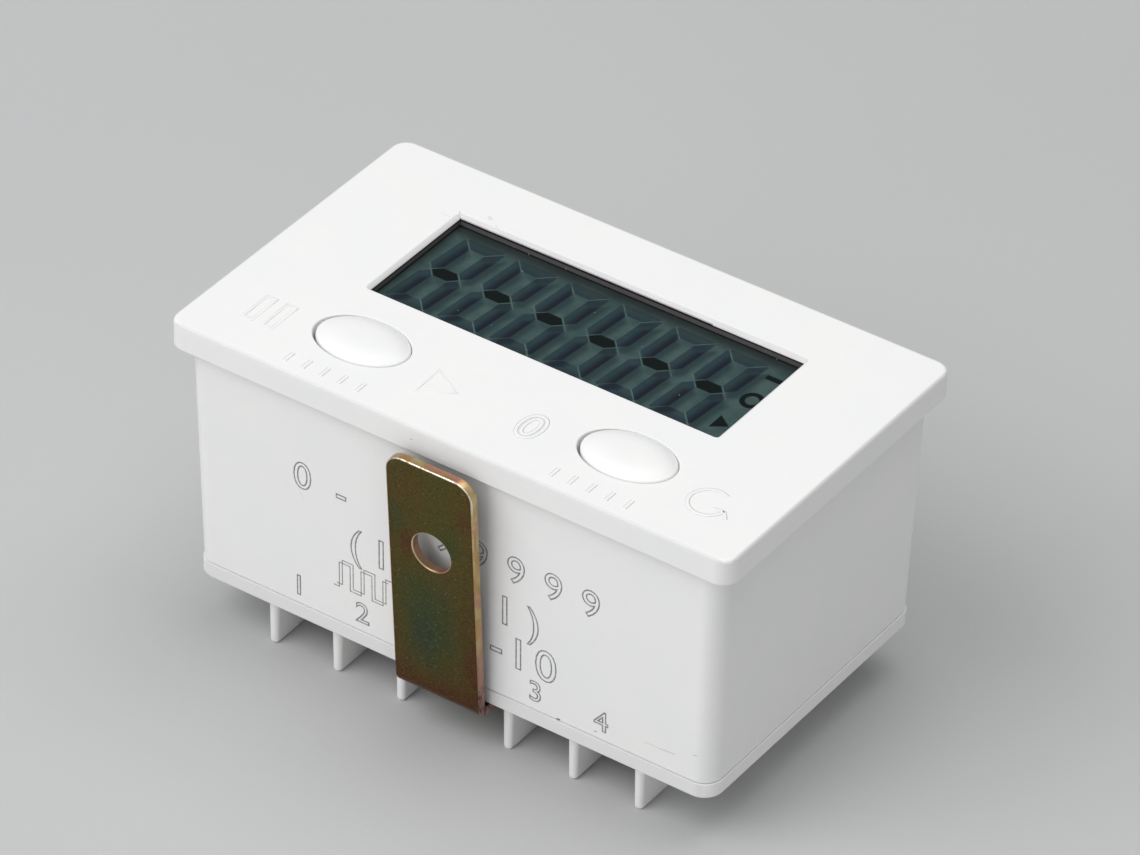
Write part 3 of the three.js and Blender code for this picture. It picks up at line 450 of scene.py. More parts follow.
def cover_painted_shade(f, base):
    """Painted shade on the long sides of the rear cover's rim, whose low faces get less light."""
    side = (abs(f.y) - COVER_DEPTH / 2).ramp(-0.4, -0.1) * f.z.ramp(COVER["foot"] - 0.1, COVER["foot"])
    return f.blend(side, base, (0.775, 0.773, 0.77))


def dark_plastic():
    f = Finish("dark_plastic")
    dust = f.specks(0.9, 0.055, 2.0) * f.noise(2.4, 2.0, shift=4).ramp(0.5, 0.6)
    lint = f.noise(0.9, 1.0, (0.35, 2.5, 1), shift=9).ramp(0.72, 0.78)
    base = f.blend(f.noise(0.5, 3.0), (0.122, 0.110, 0.118), (0.090, 0.082, 0.088))
    lip_top, face = mm_box("lcd_frame")[1].z, mm_box("lcd_front_polarizer")[1].z
    # Painted shade: near-black bands at the top of the lip, in the gap under the panel's edge, and at its
    # foot beside the display face.
    base = f.layers(base, (f.z.ramp(lip_top - 0.22, lip_top - 0.14), (0.006, 0.006, 0.006)),
                    (f.z.ramp(face + 0.1, face + 0.04), (0.010, 0.010, 0.011)),
                    (dust.most(lint * 0.5), (0.5, 0.5, 0.5)))
    f.set(Base_Color=base, Roughness=f.noise(0.7) * 0.2 + 0.5)
    return f.bump(f.noise(0.12), 0.004).material


def digit_fields(f, shift_x, shift_y):
    """Distances outside the upright segments, the level ones and the dash, and from the mitres, and the
    place in the digit."""
    d = DIGIT
    v = f.y - (d["middle_y"] + shift_y)
    u = f.x - (d["first_x"] + shift_x) - v * d["slant"]
    step = (u * (1 / d["pitch"]) + 0.5).math("FLOOR").most(0).least(d["count"] - 1)
    u = u - step * d["pitch"]
    a = abs(u)
    b = abs(v)
    root = math.sqrt(0.5)
    mitre = ((b - d["half_height"]) - (a - d["half_width"])) * root
    post = (a - d["half_width"]).most(-a + d["inner"]).most(mitre + d["gap"] / 2)
    middle = (d["half_width"] + d["inner"]) / 2
    post = post.most((abs(a - middle) - b) * root + d["gap"])
    beam = (b - d["half_height"]).most(-b + (d["half_height"] - d["bar"])).most(-mitre + d["gap"] / 2)
    chamfer = (a + b - (d["half_width"] + d["half_height"] - 0.5)) * root
    posts, beams = post.most(chamfer), beam.most(chamfer)
    dash = (b - d["dash_half_height"]).most((a + b - d["dash_half_width"]) * root)
    return posts, beams, dash, mitre, u, v


def display_marks(f):
    """Distance outside the plain signs at the display's right end: a bar, a ring and a triangle."""
    m = MARKS
    bar = (abs(f.x - m["bar_x"]) - m["bar_half"]).most(abs(f.y - m["bar_y"]) - m["bar_line"])
    ring_x = f.x - m["ring_x"]
    ring_y = (f.y - m["ring_y"]) * m["ring_squash"]
    spoke = (ring_x * ring_x + ring_y * ring_y).math("SQRT")
    ring = (spoke - m["ring_outer"]).most(-spoke + m["ring_inner"])
    triangle = (abs(f.y - m["tip_y"]) + (f.x - m["tip_x"]) * m["tip_slope"]).most(-f.x + m["tip_back"])
    return bar.least(ring).least(triangle * 0.8)


def display_lines(f, dash, mitre, u, v):
    """Bright hairlines: along the mitres of the digits and past two corners of each dash."""
    d = DIGIT
    a, b = abs(u), abs(v)
    slope = (u * v).ramp(0.05, -0.05)  # 1 where a mitre falls to the right, 0 where it rises
    inside = a.ramp(d["half_width"] + 0.15, d["half_width"] - 0.1) * b.ramp(4.6, 4.9)
    rising = v.ramp(-0.1, 0.1) * 0.5 + 0.08
    lines = abs(mitre).ramp(d["line"], 0.02) * inside * (slope * 0.8).most(rising)
    reach = d["dash_half_width"] + 0.14
    for ahead, longest, strength in ((u + v, 0.7, 0.6), (u - v, 0.1, 0.45)):
        height = -(v * ahead.math("SIGN"))
        line = abs(abs(ahead) - reach).ramp(d["line"], 0.03)
        ends = height.ramp(-longest - 0.25, -longest) * height.ramp(0.95, 0.75)
        lines = lines.most(line * ends * strength)
    return lines * f.noise(0.8, 2.0, shift=7).ramp(0.15, 0.6)


def display_face():
    """Reflective display: faint resting segments with soft shadows, dark middle dashes, edge shade."""
    f = Finish("display_face")
    d = DIGIT
    posts, beams, dash, mitre, u, v = digit_fields(f, 0, 0)
    post_shade, beam_shade, dash_shade = digit_fields(f, d["shadow_x"], d["shadow_y"])[:3]
    blur = d["shadow_blur"]
    tint = posts.ramp(0.05, -0.05).most(beams.ramp(0.05, -0.05) * 0.8)
    shadow = post_shade.ramp(blur, -blur).most(beam_shade.ramp(blur, -blur) * 0.4)
    shadow = shadow.most(dash_shade.ramp(blur, -0.3) * 0.5)
    lit = dash.least(display_marks(f)).ramp(0.05, -0.05)
    lines = display_lines(f, dash, mitre, u, v)

    mottle = f.noise(2.2, 3.0, shift=3)
    grain = f.noise(0.16, 2.0, (1, 1, 4), shift=5)
    ground = f.blend(mottle.ramp(0.3, 0.7), (0.036, 0.069, 0.067), (0.058, 0.097, 0.092))
    ground = f.blend(grain.ramp(0.3, 0.8) * 0.3, ground, (0.062, 0.100, 0.098))
    rest = f.blend(f.noise(1.1, 2.0, shift=8), (0.015, 0.034, 0.044), (0.023, 0.043, 0.052))
    core = f.blend(f.noise(1.4, 2.0, shift=5), (0.006, 0.010, 0.018), (0.011, 0.012, 0.021))
    low, high = mm_box("lcd_front_polarizer")
    clear = (-f.y + high.y).ramp(0.35, 2.5).least((f.x - low.x).ramp(0.0, 1.7) * 0.7 + 0.3)
    lip_shade = -clear * 0.82 + 0.82
    dust = f.specks(1.3, 0.065, 6.0) * f.noise(3, 2.0, shift=2).ramp(0.44, 0.54)
    colour = f.layers(ground, (shadow * 0.9, (0.020, 0.037, 0.041)), (tint * 0.9, rest),
                      (tint * shadow * 0.95, core), (lines * 0.65, (0.12, 0.18, 0.17)),
                      (lit, (0.003, 0.006, 0.006)), (lip_shade, (0.017, 0.021, 0.021)),
                      (dust * 0.85, (0.36, 0.42, 0.42)))
    f.set(Base_Color=colour, Roughness=f.noise(0.6, 3.0) * 0.12 + 0.28, Specular_IOR_Level=0.09)
    return f.bump(f.noise(0.1, 2.0), 0.002).material


def yellow_zinc():
    """Chromated zinc on stamped steel: olive, green and red-brown films, bright golden cut edges, and painted
    highlights on the rounded rim at the top edge, down the arm and at the hole's upper edge.
    """
    f = Finish("yellow_zinc")
    drift = f.noise(6, 3.0, (1, 1, 1.6), shift=4)
    wander = f.noise(2.2, 3.0, shift=9)
    olive, brown_olive = (0.098, 0.085, 0.020), (0.114, 0.076, 0.019)
    green, blue = (0.050, 0.080, 0.030), (0.036, 0.066, 0.058)
    brown, red = (0.105, 0.046, 0.016), (0.120, 0.036, 0.018)
    film = f.blend(drift.ramp(0.35, 0.62), olive, brown_olive)
    arm_y, any_y = -19.5, 400  # the near arm's place, and a radius too wide to matter

    # Soft uneven pools of other films: middle and radii in X and Z, strength and colour
    for x, z, wide, tall, strength, colour in (
            (-0.6, 14.5, 4.0, 8.0, 0.85, green), (-1.3, 12.6, 1.8, 4.0, 0.5, blue),
            (-4.3, 26.0, 1.5, 2.6, 0.6, green), (2.2, 25.5, 1.6, 2.2, 0.5, green),
            (3.9, 28.8, 1.0, 1.6, 0.5, red), (-2.9, 23.4, 1.1, 2.2, 0.75, red),
            (3.9, 14.0, 1.2, 8.0, 0.5, brown), (4.6, 10.0, 1.3, 4.5, 0.7, red)):
        near = (f.near((x, arm_y, z), (wide, any_y, tall)) + wander * 0.9).ramp(1.7, 0.7)
        film = f.blend(near * strength, film, colour)
    film = f.layers(
        film, ((f.z + wander * 3).ramp(10.5, 6.5) * abs(f.y).ramp(17.5, 19.5) * 0.9, red),
        (abs(f.x).ramp(4.2, 5.0) * wander.ramp(0.2, 0.6) * 0.8, brown),
        (f.noise(0.2, 2.0, shift=6).ramp(0.45, 0.7) * 0.45, (0.165, 0.135, 0.05)),
        (f.noise(0.25, 2.0, shift=16).ramp(0.5, 0.75) * 0.45, (0.030, 0.028, 0.010)),
        (f.specks(0.7, 0.07, 4.0) * 0.7, (0.45, 0.40, 0.22)))

    cut = f.attribute("cut_edge")
    along = f.noise(1.5, 4.0, (1, 1, 1.8), shift=2)
    gold = f.blend(along.ramp(0.38, 0.6), (0.48, 0.30, 0.12), (0.54, 0.43, 0.21))
    grey = f.noise(0.4, 3.0, (1, 1, 2.5), shift=14)
    wall = f.blend(wander.ramp(0.4, 0.6), (0.50, 0.20, 0.17), (0.46, 0.30, 0.20))
    hole = f.near((0, 0, 23.2), (2.7, any_y, 2.7)).ramp(1.1, 0.9)
    # The outer face's rounded rim, where highlights are painted.
    rim = f.attribute("rim")
    bright = rim * grey.ramp(0.35, 0.55)
    # The last three coats are painted highlights: at the hole's upper edge, along the top edge and down the
    # arm.
    gold = f.layers(
        gold, (f.noise(2.4, 3.0, shift=5).ramp(0.52, 0.66), (0.52, 0.26, 0.18)),
        (f.z.ramp(16, 10) * 0.8, (0.38, 0.19, 0.175)),
        (grey.ramp(0.5, 0.62) * f.z.ramp(12, 6), (0.10, 0.07, 0.09)),
        (hole * 0.85, wall), (hole * rim * f.z.ramp(21.3, 23.5) * 0.8, (0.78, 0.72, 0.46)),
        (bright * f.z.ramp(29.5, 31.5), (0.82, 0.78, 0.68)),
        (bright * f.z.ramp(31.5, 29.5) * f.z.ramp(21, 26) * 0.5, (0.80, 0.70, 0.42)))
    colour = f.blend(cut, film, gold)
    f.set(Base_Color=colour, Metallic=1.0, Roughness=f.noise(1.8, 4.0, shift=1) * 0.16 + cut * -0.05 + 0.33)
    relief = f.noise(0.3, 4.0, (1, 1, 3)) * 0.5 + f.noise(2.5, 2.0, shift=3) * 0.3
    return f.bump(relief, 0.009).material


def plated(name, light, dark, polish, brushed):
    """Plated or bare metal with drawn lines, stains and fine pits."""
    f = Finish(name)
    stain = f.noise(1.6, 4.0, shift=3)
    lines = f.noise(0.14, 2.0, (12, 1, 1), shift=2)
    base = f.blend(stain.ramp(0.3, 0.7), light, dark)
    f.set(Base_Color=base, Metallic=1.0, Roughness=stain * 0.18 + polish + lines * brushed)
    return f.bump(lines * brushed * 2 + f.noise(0.2, 2.0) * 0.4, 0.006).material


def mixed(name, first, second, size, gloss, depth=0.01, metallic=0.0):
    """A plain solid finish with two tones, uneven gloss and a fine relief."""
    f = Finish(name)
    f.set(Base_Color=f.blend(f.noise(size, 4.0).ramp(0.3, 0.7), first, second), Metallic=metallic,
          Roughness=f.noise(size * 0.6, 3.0, shift=4) * 0.2 + gloss)
    return f.bump(f.noise(size * 0.1, 2.0), depth).material


def printed_grey():
    """Worn silver-grey print."""
    f = Finish("print")
    wear = f.noise(0.35, 4.0, shift=2)
    f.set(Base_Color=f.blend(wear.ramp(0.4, 0.65), (0.20, 0.20, 0.21), (0.36, 0.36, 0.37)),
          Roughness=wear * 0.2 + 0.45)
    return f.bump(f.noise(0.1), 0.003).material


MATERIALS = {
    # The case's plastic, with painted shade on the window's bevel and on the flange's rounded edge.
    "case_plastic": white_plastic("case_plastic", 0.87, 0.36, 0.004, HAIRS, case_painted_shade),
    "button_plastic": white_plastic("button_plastic", 0.875, 0.32, 0.002),
    "dark_plastic": dark_plastic(),
    "display": display_face(),
    "steel": plated("steel", (0.62, 0.63, 0.66), (0.42, 0.44, 0.48), 0.24, 0.12),
    "brass": plated("brass", (0.72, 0.50, 0.20), (0.52, 0.34, 0.12), 0.28, 0.15),
    "yellow_zinc": yellow_zinc(),
}
for slot, recipe in {
    "glass": ((0.30, 0.36, 0.34), (0.34, 0.40, 0.38), 6, 0.05, 0.001),
    "reflector": ((0.20, 0.24, 0.22), (0.26, 0.30, 0.28), 3, 0.4, 0.004, 0.4),
    "rubber": ((0.30, 0.26, 0.34), (0.36, 0.32, 0.40), 2, 0.6),
    "foam": ((0.02, 0.02, 0.02), (0.04, 0.04, 0.04), 0.8, 0.75, 0.03),
    "board": ((0.010, 0.075, 0.026), (0.014, 0.10, 0.036), 5, 0.3, 0.004),
    "black_plastic": ((0.010, 0.010, 0.011), (0.022, 0.022, 0.023), 2, 0.4),
    "wire": ((0.20, 0.016, 0.014), (0.27, 0.024, 0.020), 2, 0.4),
}.items():
    MATERIALS[slot] = mixed(slot, *recipe)
PRINT_INK = printed_grey()
# The rear cover's plastic, with painted shade on its rim's long sides.
COVER_PLASTIC = white_plastic("cover_plastic", 0.86, 0.38, 0.004, shade=cover_painted_shade)


def dress(obj, slot, body="root", nodes=(), material=None):
    """Gives a finished piece its material, its body and the nodes that it stands for."""
    obj.data.materials.clear()
    obj.data.materials.append(material or MATERIALS[slot])
    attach(obj, body)
    if nodes:
        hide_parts(*nodes)
    return obj


# Case

def make_case():
    rings = [(z, rounded_rect(*body_plan(z, inset), SHELL["corner"] - inset))
             for z, inset in rounded_foot(case_low.z, SHELL["foot_edge"], 4) + [(FLANGE_FOOT, 0)]]
    levels = rounded_foot(FLANGE_FOOT, FLANGE["foot_edge"], 4) + rounded_top(TOP, FLANGE["top_edge"], 8)
    rings += block(FLANGE_WIDTH, FLANGE_DEPTH, FLANGE["corner"], levels)
    case = stack_object("case_shell", rings)

    inner = SHELL["corner"] - SHELL["wall"] / 2
    hollow = stack_object("hollow", [(z, rounded_rect(*body_plan(z, SHELL["wall"]), inner))
                                     for z in (case_low.z - OVERRUN, PANEL_INSIDE)])
    bevel, edge, rebate = WINDOW["bevel"], WINDOW["edge"], WINDOW["rebate"]
    ceiling = TOP - bevel - edge - WINDOW["land"]
    below = PANEL_INSIDE - OVERRUN
    levels = ((below, -rebate), (ceiling, -rebate), (ceiling, 0), (TOP - bevel - edge, 0),
              (TOP - bevel + edge, -edge), (TOP - edge, edge - bevel), (TOP, -bevel - edge),
              (TOP + OVERRUN, -bevel - edge))
    window = stack_object("window", block(WINDOW_WIDTH, WINDOW_DEPTH, WINDOW["corner"], levels, 3,
                                          WINDOW_X, WINDOW_Y))
    step_width = WINDOW["step_x"] - (WINDOW_X - WINDOW_WIDTH / 2)
    step_plan = rounded_rect(step_width, 2 * WINDOW["step"], WINDOW["step_corner"], 2,
                             WINDOW["step_x"] - step_width / 2, WINDOW_Y + WINDOW_DEPTH / 2)
    step = stack_object("window_step", prism(step_plan, ceiling - WINDOW["step"],
                                             TOP - bevel + edge + WINDOW["step"]))
    low, high = mm_box("lcd_frame")
    gap = WINDOW["recess_gap"]
    recess_plan = rounded_rect(high.x - low.x + gap, high.y - low.y + gap, WINDOW["recess_corner"], 2,
                               *middle_of("lcd_frame"))
    recess = stack_object("recess", prism(recess_plan, below, TOP - SHELL["panel_at_display"]))
    holes = []
    for name in BUTTONS:
        x, y = middle_of(name)

        def hole_ring(z, grow):
            return z, oval(BUTTON["width"] + 2 * (BUTTON["gap_x"] + grow),
                           BUTTON["depth"] + 2 * (BUTTON["gap_y"] + grow), 96,
                           x - BUTTON["hole_left"], y - BUTTON["hole_front"])

        edge = BUTTON["hole_edge"]
        levels = [(below, 0), *rounded_top(TOP, edge, 4), (TOP + OVERRUN, edge)]
        holes.append([hole_ring(z, grow) for z, grow in levels])
    return combine(case, "DIFFERENCE", hollow, window, step, recess, stack_object("holes", *holes))


dress(smooth(make_case()), "case_plastic", nodes=["front_case"])


# Rear cover

def make_cover():
    foot, ledge, corner = COVER["foot"], COVER["ledge"], SHELL["corner"] + COVER["proud"]
    levels = rounded_foot(foot, COVER["edge"], 8) + [(COVER_TOP - ledge, 0), (COVER_TOP, ledge)]
    cover = stack_object("rear_shell", block(COVER_WIDTH, COVER_DEPTH, corner, levels))

    levels = [(z, BARRIER["taper"] + inset) for z, inset in rounded_foot(0, BARRIER["edge"], 5)]
    levels.append((foot + BARRIER["root"], 0))
    wall_depth = COVER_DEPTH - 2 * BARRIER["end_inset"]
    places = [side * (BARRIER["first"] + step * BARRIER["pitch"]) for side in (-1, 1) for step in range(3)]
    combine(cover, "UNION", stack_object("walls", *[
        block(BARRIER["thickness"], wall_depth, BARRIER["end"], levels, 8, x) for x in places]))

    below, top = foot - OVERRUN, COVER_TOP + OVERRUN

    def mouth(radius, edge):
        """Profile of a hole's chamfered mouth in the rear face."""
        return [(radius + edge, below), (radius + edge, foot), (radius, foot + edge)]

    cuts = []
    for n in TERMINALS:
        well, seat = SCREW_M2["head"] + COVER["well_gap"], foot + COVER["well_depth"]
        bore = SCREW_M2["radius"] + SCREW_GAP
        cuts.append(turned_rings(mouth(well, COVER["well_edge"]) + [(well, seat), (bore, seat), (bore, top)],
                                 40, *middle_of(f"case_screw_{n}")))
        bore = SCREW_M3["radius"] + SCREW_GAP
        cuts.append(turned_rings([(bore, below), (bore, top)], 32, *middle_of(f"terminal_screw_{n}")))
        plate = f"terminal_plate_{n}"
        cuts.append(prism(rounded_rect(TAG_SLOT["width"], TAG_SLOT["depth"], TAG_SLOT["corner"], 2,
                                       middle_of(plate)[0], mm_box(plate)[1].y - TAG_SLOT["inset"]),
                          below, top))
    bore = mm_box("bracket_insert")[1].x + COVER["insert_gap"]
    cuts.append(turned_rings(mouth(bore, COVER["insert_edge"]) + [(bore, top)], 48))
    return combine(cover, "DIFFERENCE", stack_object("cover_cuts", *cuts))


dress(smooth(make_cover()), "case_plastic", nodes=["rear_cover"], material=COVER_PLASTIC)


# Buttons

def make_button(name):
    low, high = mm_box(name)
    skirt, skirt_edge, edge = BUTTON["skirt"], BUTTON["skirt_edge"], BUTTON["edge"]
    skirt_top = low.z + BUTTON["skirt_thickness"]
    rim = TOP + BUTTON["rim_above"]
    dome = high.z - rim

    def ring(z, grow=0.0, share=1.0):
        return z, oval((BUTTON["width"] + 2 * grow) * share, (BUTTON["depth"] + 2 * grow) * share, 96,
                       *middle_of(name))

    rings = [ring(low.z, skirt), ring(skirt_top - skirt_edge, skirt), ring(skirt_top, skirt - skirt_edge),
             ring(skirt_top)]
    rings += [ring(z, -inset) for z, inset in rounded_top(rim, edge, 6)]
    steps = 14
    for i in range(1, steps):
        share = math.cos(TAU / 4 * i / steps)
        rings.append(ring(rim + dome * (1 - share ** BUTTON["crown"]), -edge * share, share))
    return stack_object(f"{name}_cap", rings)


for button in BUTTONS:
    dress(smooth(make_button(button), 50), "button_plastic", button, [button])


# Display

def make_display():
    low, high = mm_box("lcd_front_polarizer")
    levels = ((low.z, 0), (high.z - DISPLAY["edge"], 0), (high.z, DISPLAY["edge"]))
    return stack_object("display_sheet", block(high.x - low.x, high.y - low.y, DISPLAY["corner"], levels, 3,
                                               *middle_of("lcd_front_polarizer")))


dress(smooth(make_display()), "display", nodes=["lcd_front_polarizer"])


# Strap: a stamped blank, drawn flat and then bent

STRAP_FOOT = mm_box("mounting_bracket")[0].z
LEAN = math.radians(STRAP["lean_degrees"])
BEND_ANGLE = TAU / 4 - LEAN
BEND_TANGENT = STRAP["bend"] * math.tan(BEND_ANGLE / 2)
FOOT_HALF = COVER_DEPTH / 2 + STRAP["side_gap"] + STRAP["thickness"]
FLAT_HALF = FOOT_HALF - BEND_TANGENT
BEND_LENGTH = STRAP["bend"] * BEND_ANGLE
BLANK_HALF = FLAT_HALF + BEND_LENGTH + STRAP["arm"] - BEND_TANGENT


def bent(s, v, w):
    """Place of a point of the blank: s along it from the middle, v across it, w in from its outer face."""
    side = -1 if s < 0 else 1
    s = abs(s)
    if s <= FLAT_HALF:
        y, z = s, STRAP_FOOT + w
    else:
        angle = min((s - FLAT_HALF) / STRAP["bend"], BEND_ANGLE)
        radius = STRAP["bend"] - w
        y = FLAT_HALF + radius * math.sin(angle)
        z = STRAP_FOOT + STRAP["bend"] - radius * math.cos(angle)
        along = max(s - FLAT_HALF - BEND_LENGTH, 0)
        y += along * math.sin(LEAN)
        z += along * math.cos(LEAN)
    return v, side * y, z


def strap_rows():
    """Places along the straight sides where the blank has a row of points, closer in the bends."""
    straight, curved, clear = 60, 18, 0.3
    reach, bend_end = BLANK_HALF - STRAP["tip"], FLAT_HALF + BEND_LENGTH
    rows = [-reach + i * 2 * reach / straight for i in range(1, straight)]
    rows = [s for s in rows if not FLAT_HALF - clear < abs(s) < bend_end + clear]
    rows += [side * (FLAT_HALF + BEND_LENGTH * i / curved) for i in range(curved + 1) for side in (1, -1)]
    return sorted(rows)


def strap_holes():
    """Place along the blank and radius of each hole."""
    place = FLAT_HALF + BEND_LENGTH + STRAP["hole_place"] - BEND_TANGENT
    return (-place, STRAP["hole"]), (0, STRAP["slot"]), (place, STRAP["hole"])


def blank_loops(inset):
    """The blank's outline and holes in s and v, drawn in by an inset, counter-clockwise."""
    half, length, tip = STRAP["width"] / 2 - inset, BLANK_HALF - inset, STRAP["tip"] - inset
    rows = strap_rows()

    def corner(sign_s, sign_v, start, steps=8):
        angles = [start + TAU / 4 * i / steps for i in range(steps + 1)]
        return [(sign_s * (length - tip) + tip * math.cos(angle),
                 sign_v * (half - tip) + tip * math.sin(angle)) for angle in angles]

    outline = corner(1, 1, 0) + [(s, half) for s in reversed(rows)] + corner(-1, 1, TAU / 4)
    outline += corner(-1, -1, TAU / 2) + [(s, -half) for s in rows] + corner(1, -1, 3 * TAU / 4)
    return [outline] + [circle(radius + inset, 48, s) for s, radius in strap_holes()]


def make_strap():
    edge, thickness = STRAP["edge"], STRAP["thickness"]
    loops = blank_loops(edge)
    starts = [sum(len(loop) for loop in loops[:number]) for number in range(len(loops) + 1)]
    spans = list(zip(starts, starts[1:]))
    flat = [p for loop in loops for p in loop]
    edges = [(i, start if i + 1 == end else i + 1) for start, end in spans for i in range(start, end)]
    margin = edge + STRAP["margin"]
    flat += [p for loop in blank_loops(margin) for p in loop]
    column, inside_with_holes, tolerance = 0.5, 2, 1e-5
    for s in strap_rows():
        for v in (column * i for i in range(-8, 9)):
            near = min(math.hypot(s - place, v) for place, _ in strap_holes()) - STRAP["hole"]
            if near > margin + column / 2:
                flat.append((s, v))
    points, _, faces, *_ = delaunay_2d_cdt([Vector(p) for p in flat], edges, [], inside_with_holes, tolerance)
    faces = [face for face in faces
             if not any(all(start <= i < end for i in face) for start, end in spans[1:])]

    bm = bmesh.new()
    cut = bm.verts.layers.float.new("cut_edge")
    rim = bm.verts.layers.float.new("rim")
    sheets = []
    for w in (0, thickness):
        sheets.append([bm.verts.new(bent(s, v, w)) for s, v in points])
        for face in faces:
            bm.faces.new([sheets[-1][i] for i in face])
    profile = rounded_foot(0, edge, 4)[1:]
    profile += [(thickness - depth, inset) for depth, inset in reversed(profile)]
    for number, (start, end) in enumerate(spans):
        lower = sheets[0][start:end]
        for depth, inset in profile:
            upper = [bm.verts.new(bent(s, v, depth)) for s, v in blank_loops(inset)[number]]
            for vert in upper:
                vert[cut] = 1.0
                # Marks the outer face's rounded rim, where the finish paints highlights.
                vert[rim] = 1.0 if depth < 0.9 * edge else 0.0
            bridge(bm, lower, upper)
            lower = upper
        bridge(bm, lower, sheets[1][start:end])
    return mesh_object("strap", bm)


dress(smooth(make_strap(), 60), "yellow_zinc", "strap", ["mounting_bracket"])


# Screws and washers

def make_screw(name, size):
    """Pan-head screw with a cross recess and a thread, in place of a node with its head down."""
    x, y = middle_of(name)
    foot, tip = (corner.z for corner in mm_box(name))
    seat = foot + size["head_height"]
    wide, edge, centre, run_out = size["head"], 0.12, 0.02, 0.4
    steps, turn_steps, count = 10, 8, 48
    crown = size["head_height"] - size["shoulder"]
    head = [(centre, foot)]
    head += [(wide * math.sin(TAU / 4 * i / steps), foot + crown * (1 - math.cos(TAU / 4 * i / steps)))
             for i in range(1, steps + 1)]
    head += [(wide, seat - edge), (wide - edge, seat), (size["radius"] * 0.9, seat)]
    rings = turned_rings(head, count, x, y)
    pitch = size["pitch"]
    rows = int((tip - seat - run_out) / pitch * turn_steps)
    for row in range(1, rows):
        ease = min(1, row / turn_steps, (rows - row) / turn_steps)
        ring = []
        for i in range(count):
            phase = (row / turn_steps - i / count) % 1
            radius = size["radius"] - pitch / 2 * abs(2 * phase - 1) * ease
            ring.append((x + radius * math.cos(TAU * i / count), y + radius * math.sin(TAU * i / count)))
        rings.append((seat + row * pitch / turn_steps, ring))
    rings.append((tip, circle(size["radius"] / 2, count, x, y)))
    screw = stack_object(f"{name}_body", rings)
    corner, straight, long_share, slim_share = 0.1, 0.3, 0.6, 0.8
    for turn in (0, 1):
        plans = []
        for length, width in ((1, 1), (long_share, slim_share)):
            plan = (size["cross"] * length, size["cross_width"] * width)
            plans.append(rounded_rect(*(plan if turn else plan[::-1]), corner, 2, x, y))
        rings = prism(plans[0], foot - OVERRUN, foot + straight) + [(foot + size["cross_depth"], plans[1])]
        combine(screw, "DIFFERENCE", stack_object("recess", rings))
    return screw


def make_washer(name, square):
    low, high = mm_box(name)
    x, y = middle_of(name)
    size, edge, hair = high.x - low.x, WASHER["edge"], 0.001
    levels = rounded_foot(low.z, edge, 3) + rounded_top(high.z, edge, 3)
    corner = (WASHER["corner"] if square else size / 2) - hair
    washer = stack_object(f"{name}_plate", block(size, size, corner, levels, 12, x, y))
    bore = SCREW_M3["radius"] + SCREW_GAP
    profile = [(bore + edge, low.z - OVERRUN), (bore + edge, low.z), (bore, low.z + edge),
               (bore, high.z - edge), (bore + edge, high.z), (bore + edge, high.z + OVERRUN)]
    return combine(washer, "DIFFERENCE", stack_object("hole", turned_rings(profile, 40, x, y)))


def fasten(name, piece, body):
    dress(smooth(piece), "steel", body, [name])


for n in TERMINALS:
    screw, washer, case_screw = f"terminal_screw_{n}", f"terminal_washer_{n}", f"case_screw_{n}"
    fasten(screw, make_screw(screw, SCREW_M3), f"clamp_screw_{n}")
    fasten(washer, make_washer(washer, True), f"clamp_{n}")
    fasten(case_screw, make_screw(case_screw, SCREW_M2), "root")
fasten("bracket_screw", make_screw("bracket_screw", SCREW_M3), "strap_screw")
fasten("bracket_washer", make_washer("bracket_washer", False), "strap")


# Print and raised signs

def ridges(name, curve, size, placing):
    """Low ridges along a flat curve drawn in millimetres, laid on a face by a matrix."""
    curve.bevel_depth = size["line"]
    curve.bevel_resolution = 1
    source = add_object(name, curve)
    mesh = finished_mesh(source)
    bpy.data.objects.remove(source)
    bm = bmesh.new()
    bm.from_mesh(mesh)
    flatten = Matrix.Diagonal((1, 1, size["rise"] / size["line"], 1))
    bmesh.ops.transform(bm, matrix=placing @ flatten, verts=bm.verts)
    return mesh_object(name, bm)


def digits_curve(text, height):
    """Outlines of plain digits and signs, middled on the digits' height."""
    curve = bpy.data.curves.new("digits", "FONT")
    curve.body = text
    curve.size = height / PRINT["digit_share"]
    curve.align_x = "CENTER"
    curve.fill_mode = "NONE"
    curve.resolution_u = 4
    curve.offset_y = -height / 2
    return curve


def line_curve(*paths):
    """Open or closed lines through points, closed where a path ends on its first point."""
    curve = bpy.data.curves.new("lines", "CURVE")
    curve.dimensions = "3D"
    curve.use_fill_caps = True
    for path in paths:
        closed = path[0] == path[-1]
        points = path[:-1] if closed else path
        spline = curve.splines.new("POLY")
        spline.points.add(len(points) - 1)
        for point, (x, y) in zip(spline.points, points):
            point.co = (x, y, 0, 1)
        spline.use_cyclic_u = closed
    return curve


def on_front(x, z):
    """Matrix of a place on the body's front face, with local Y up the face and Z out of it."""
    y = -body_plan(z)[1] / 2
    return Matrix.Translation((x, y, z)) @ Matrix.Rotation(TAU / 4 + math.atan(DRAFT), 4, "X")


def print_front():
    for name, (z, height, signs) in PRINT_ROWS.items():
        for number, (text, x) in enumerate(signs, 1):
            piece = ridges(f"print_{name}_{number}", digits_curve(text, height), PRINT, on_front(x, z))
            dress(piece, "dark_plastic", material=PRINT_INK)
    low, high = -PULSE["height"] / 2, PULSE["height"] / 2
    wave = [(0, low)]
    for i in range(PULSE["count"]):
        x = (i + 0.5) * PULSE["step"]
        wave += [(x, low), (x, high)]
        low, high = high, low
    wave.append((PULSE["count"] * PULSE["step"], low))
    lines = [[(x + gap, y + gap) for x, y in wave] for gap in (-PULSE["apart"] / 2, PULSE["apart"] / 2)]
    piece = ridges("print_pulse", line_curve(*lines), PRINT, on_front(PULSE["x"], PULSE["z"]))
    dress(piece, "dark_plastic", material=PRINT_INK)


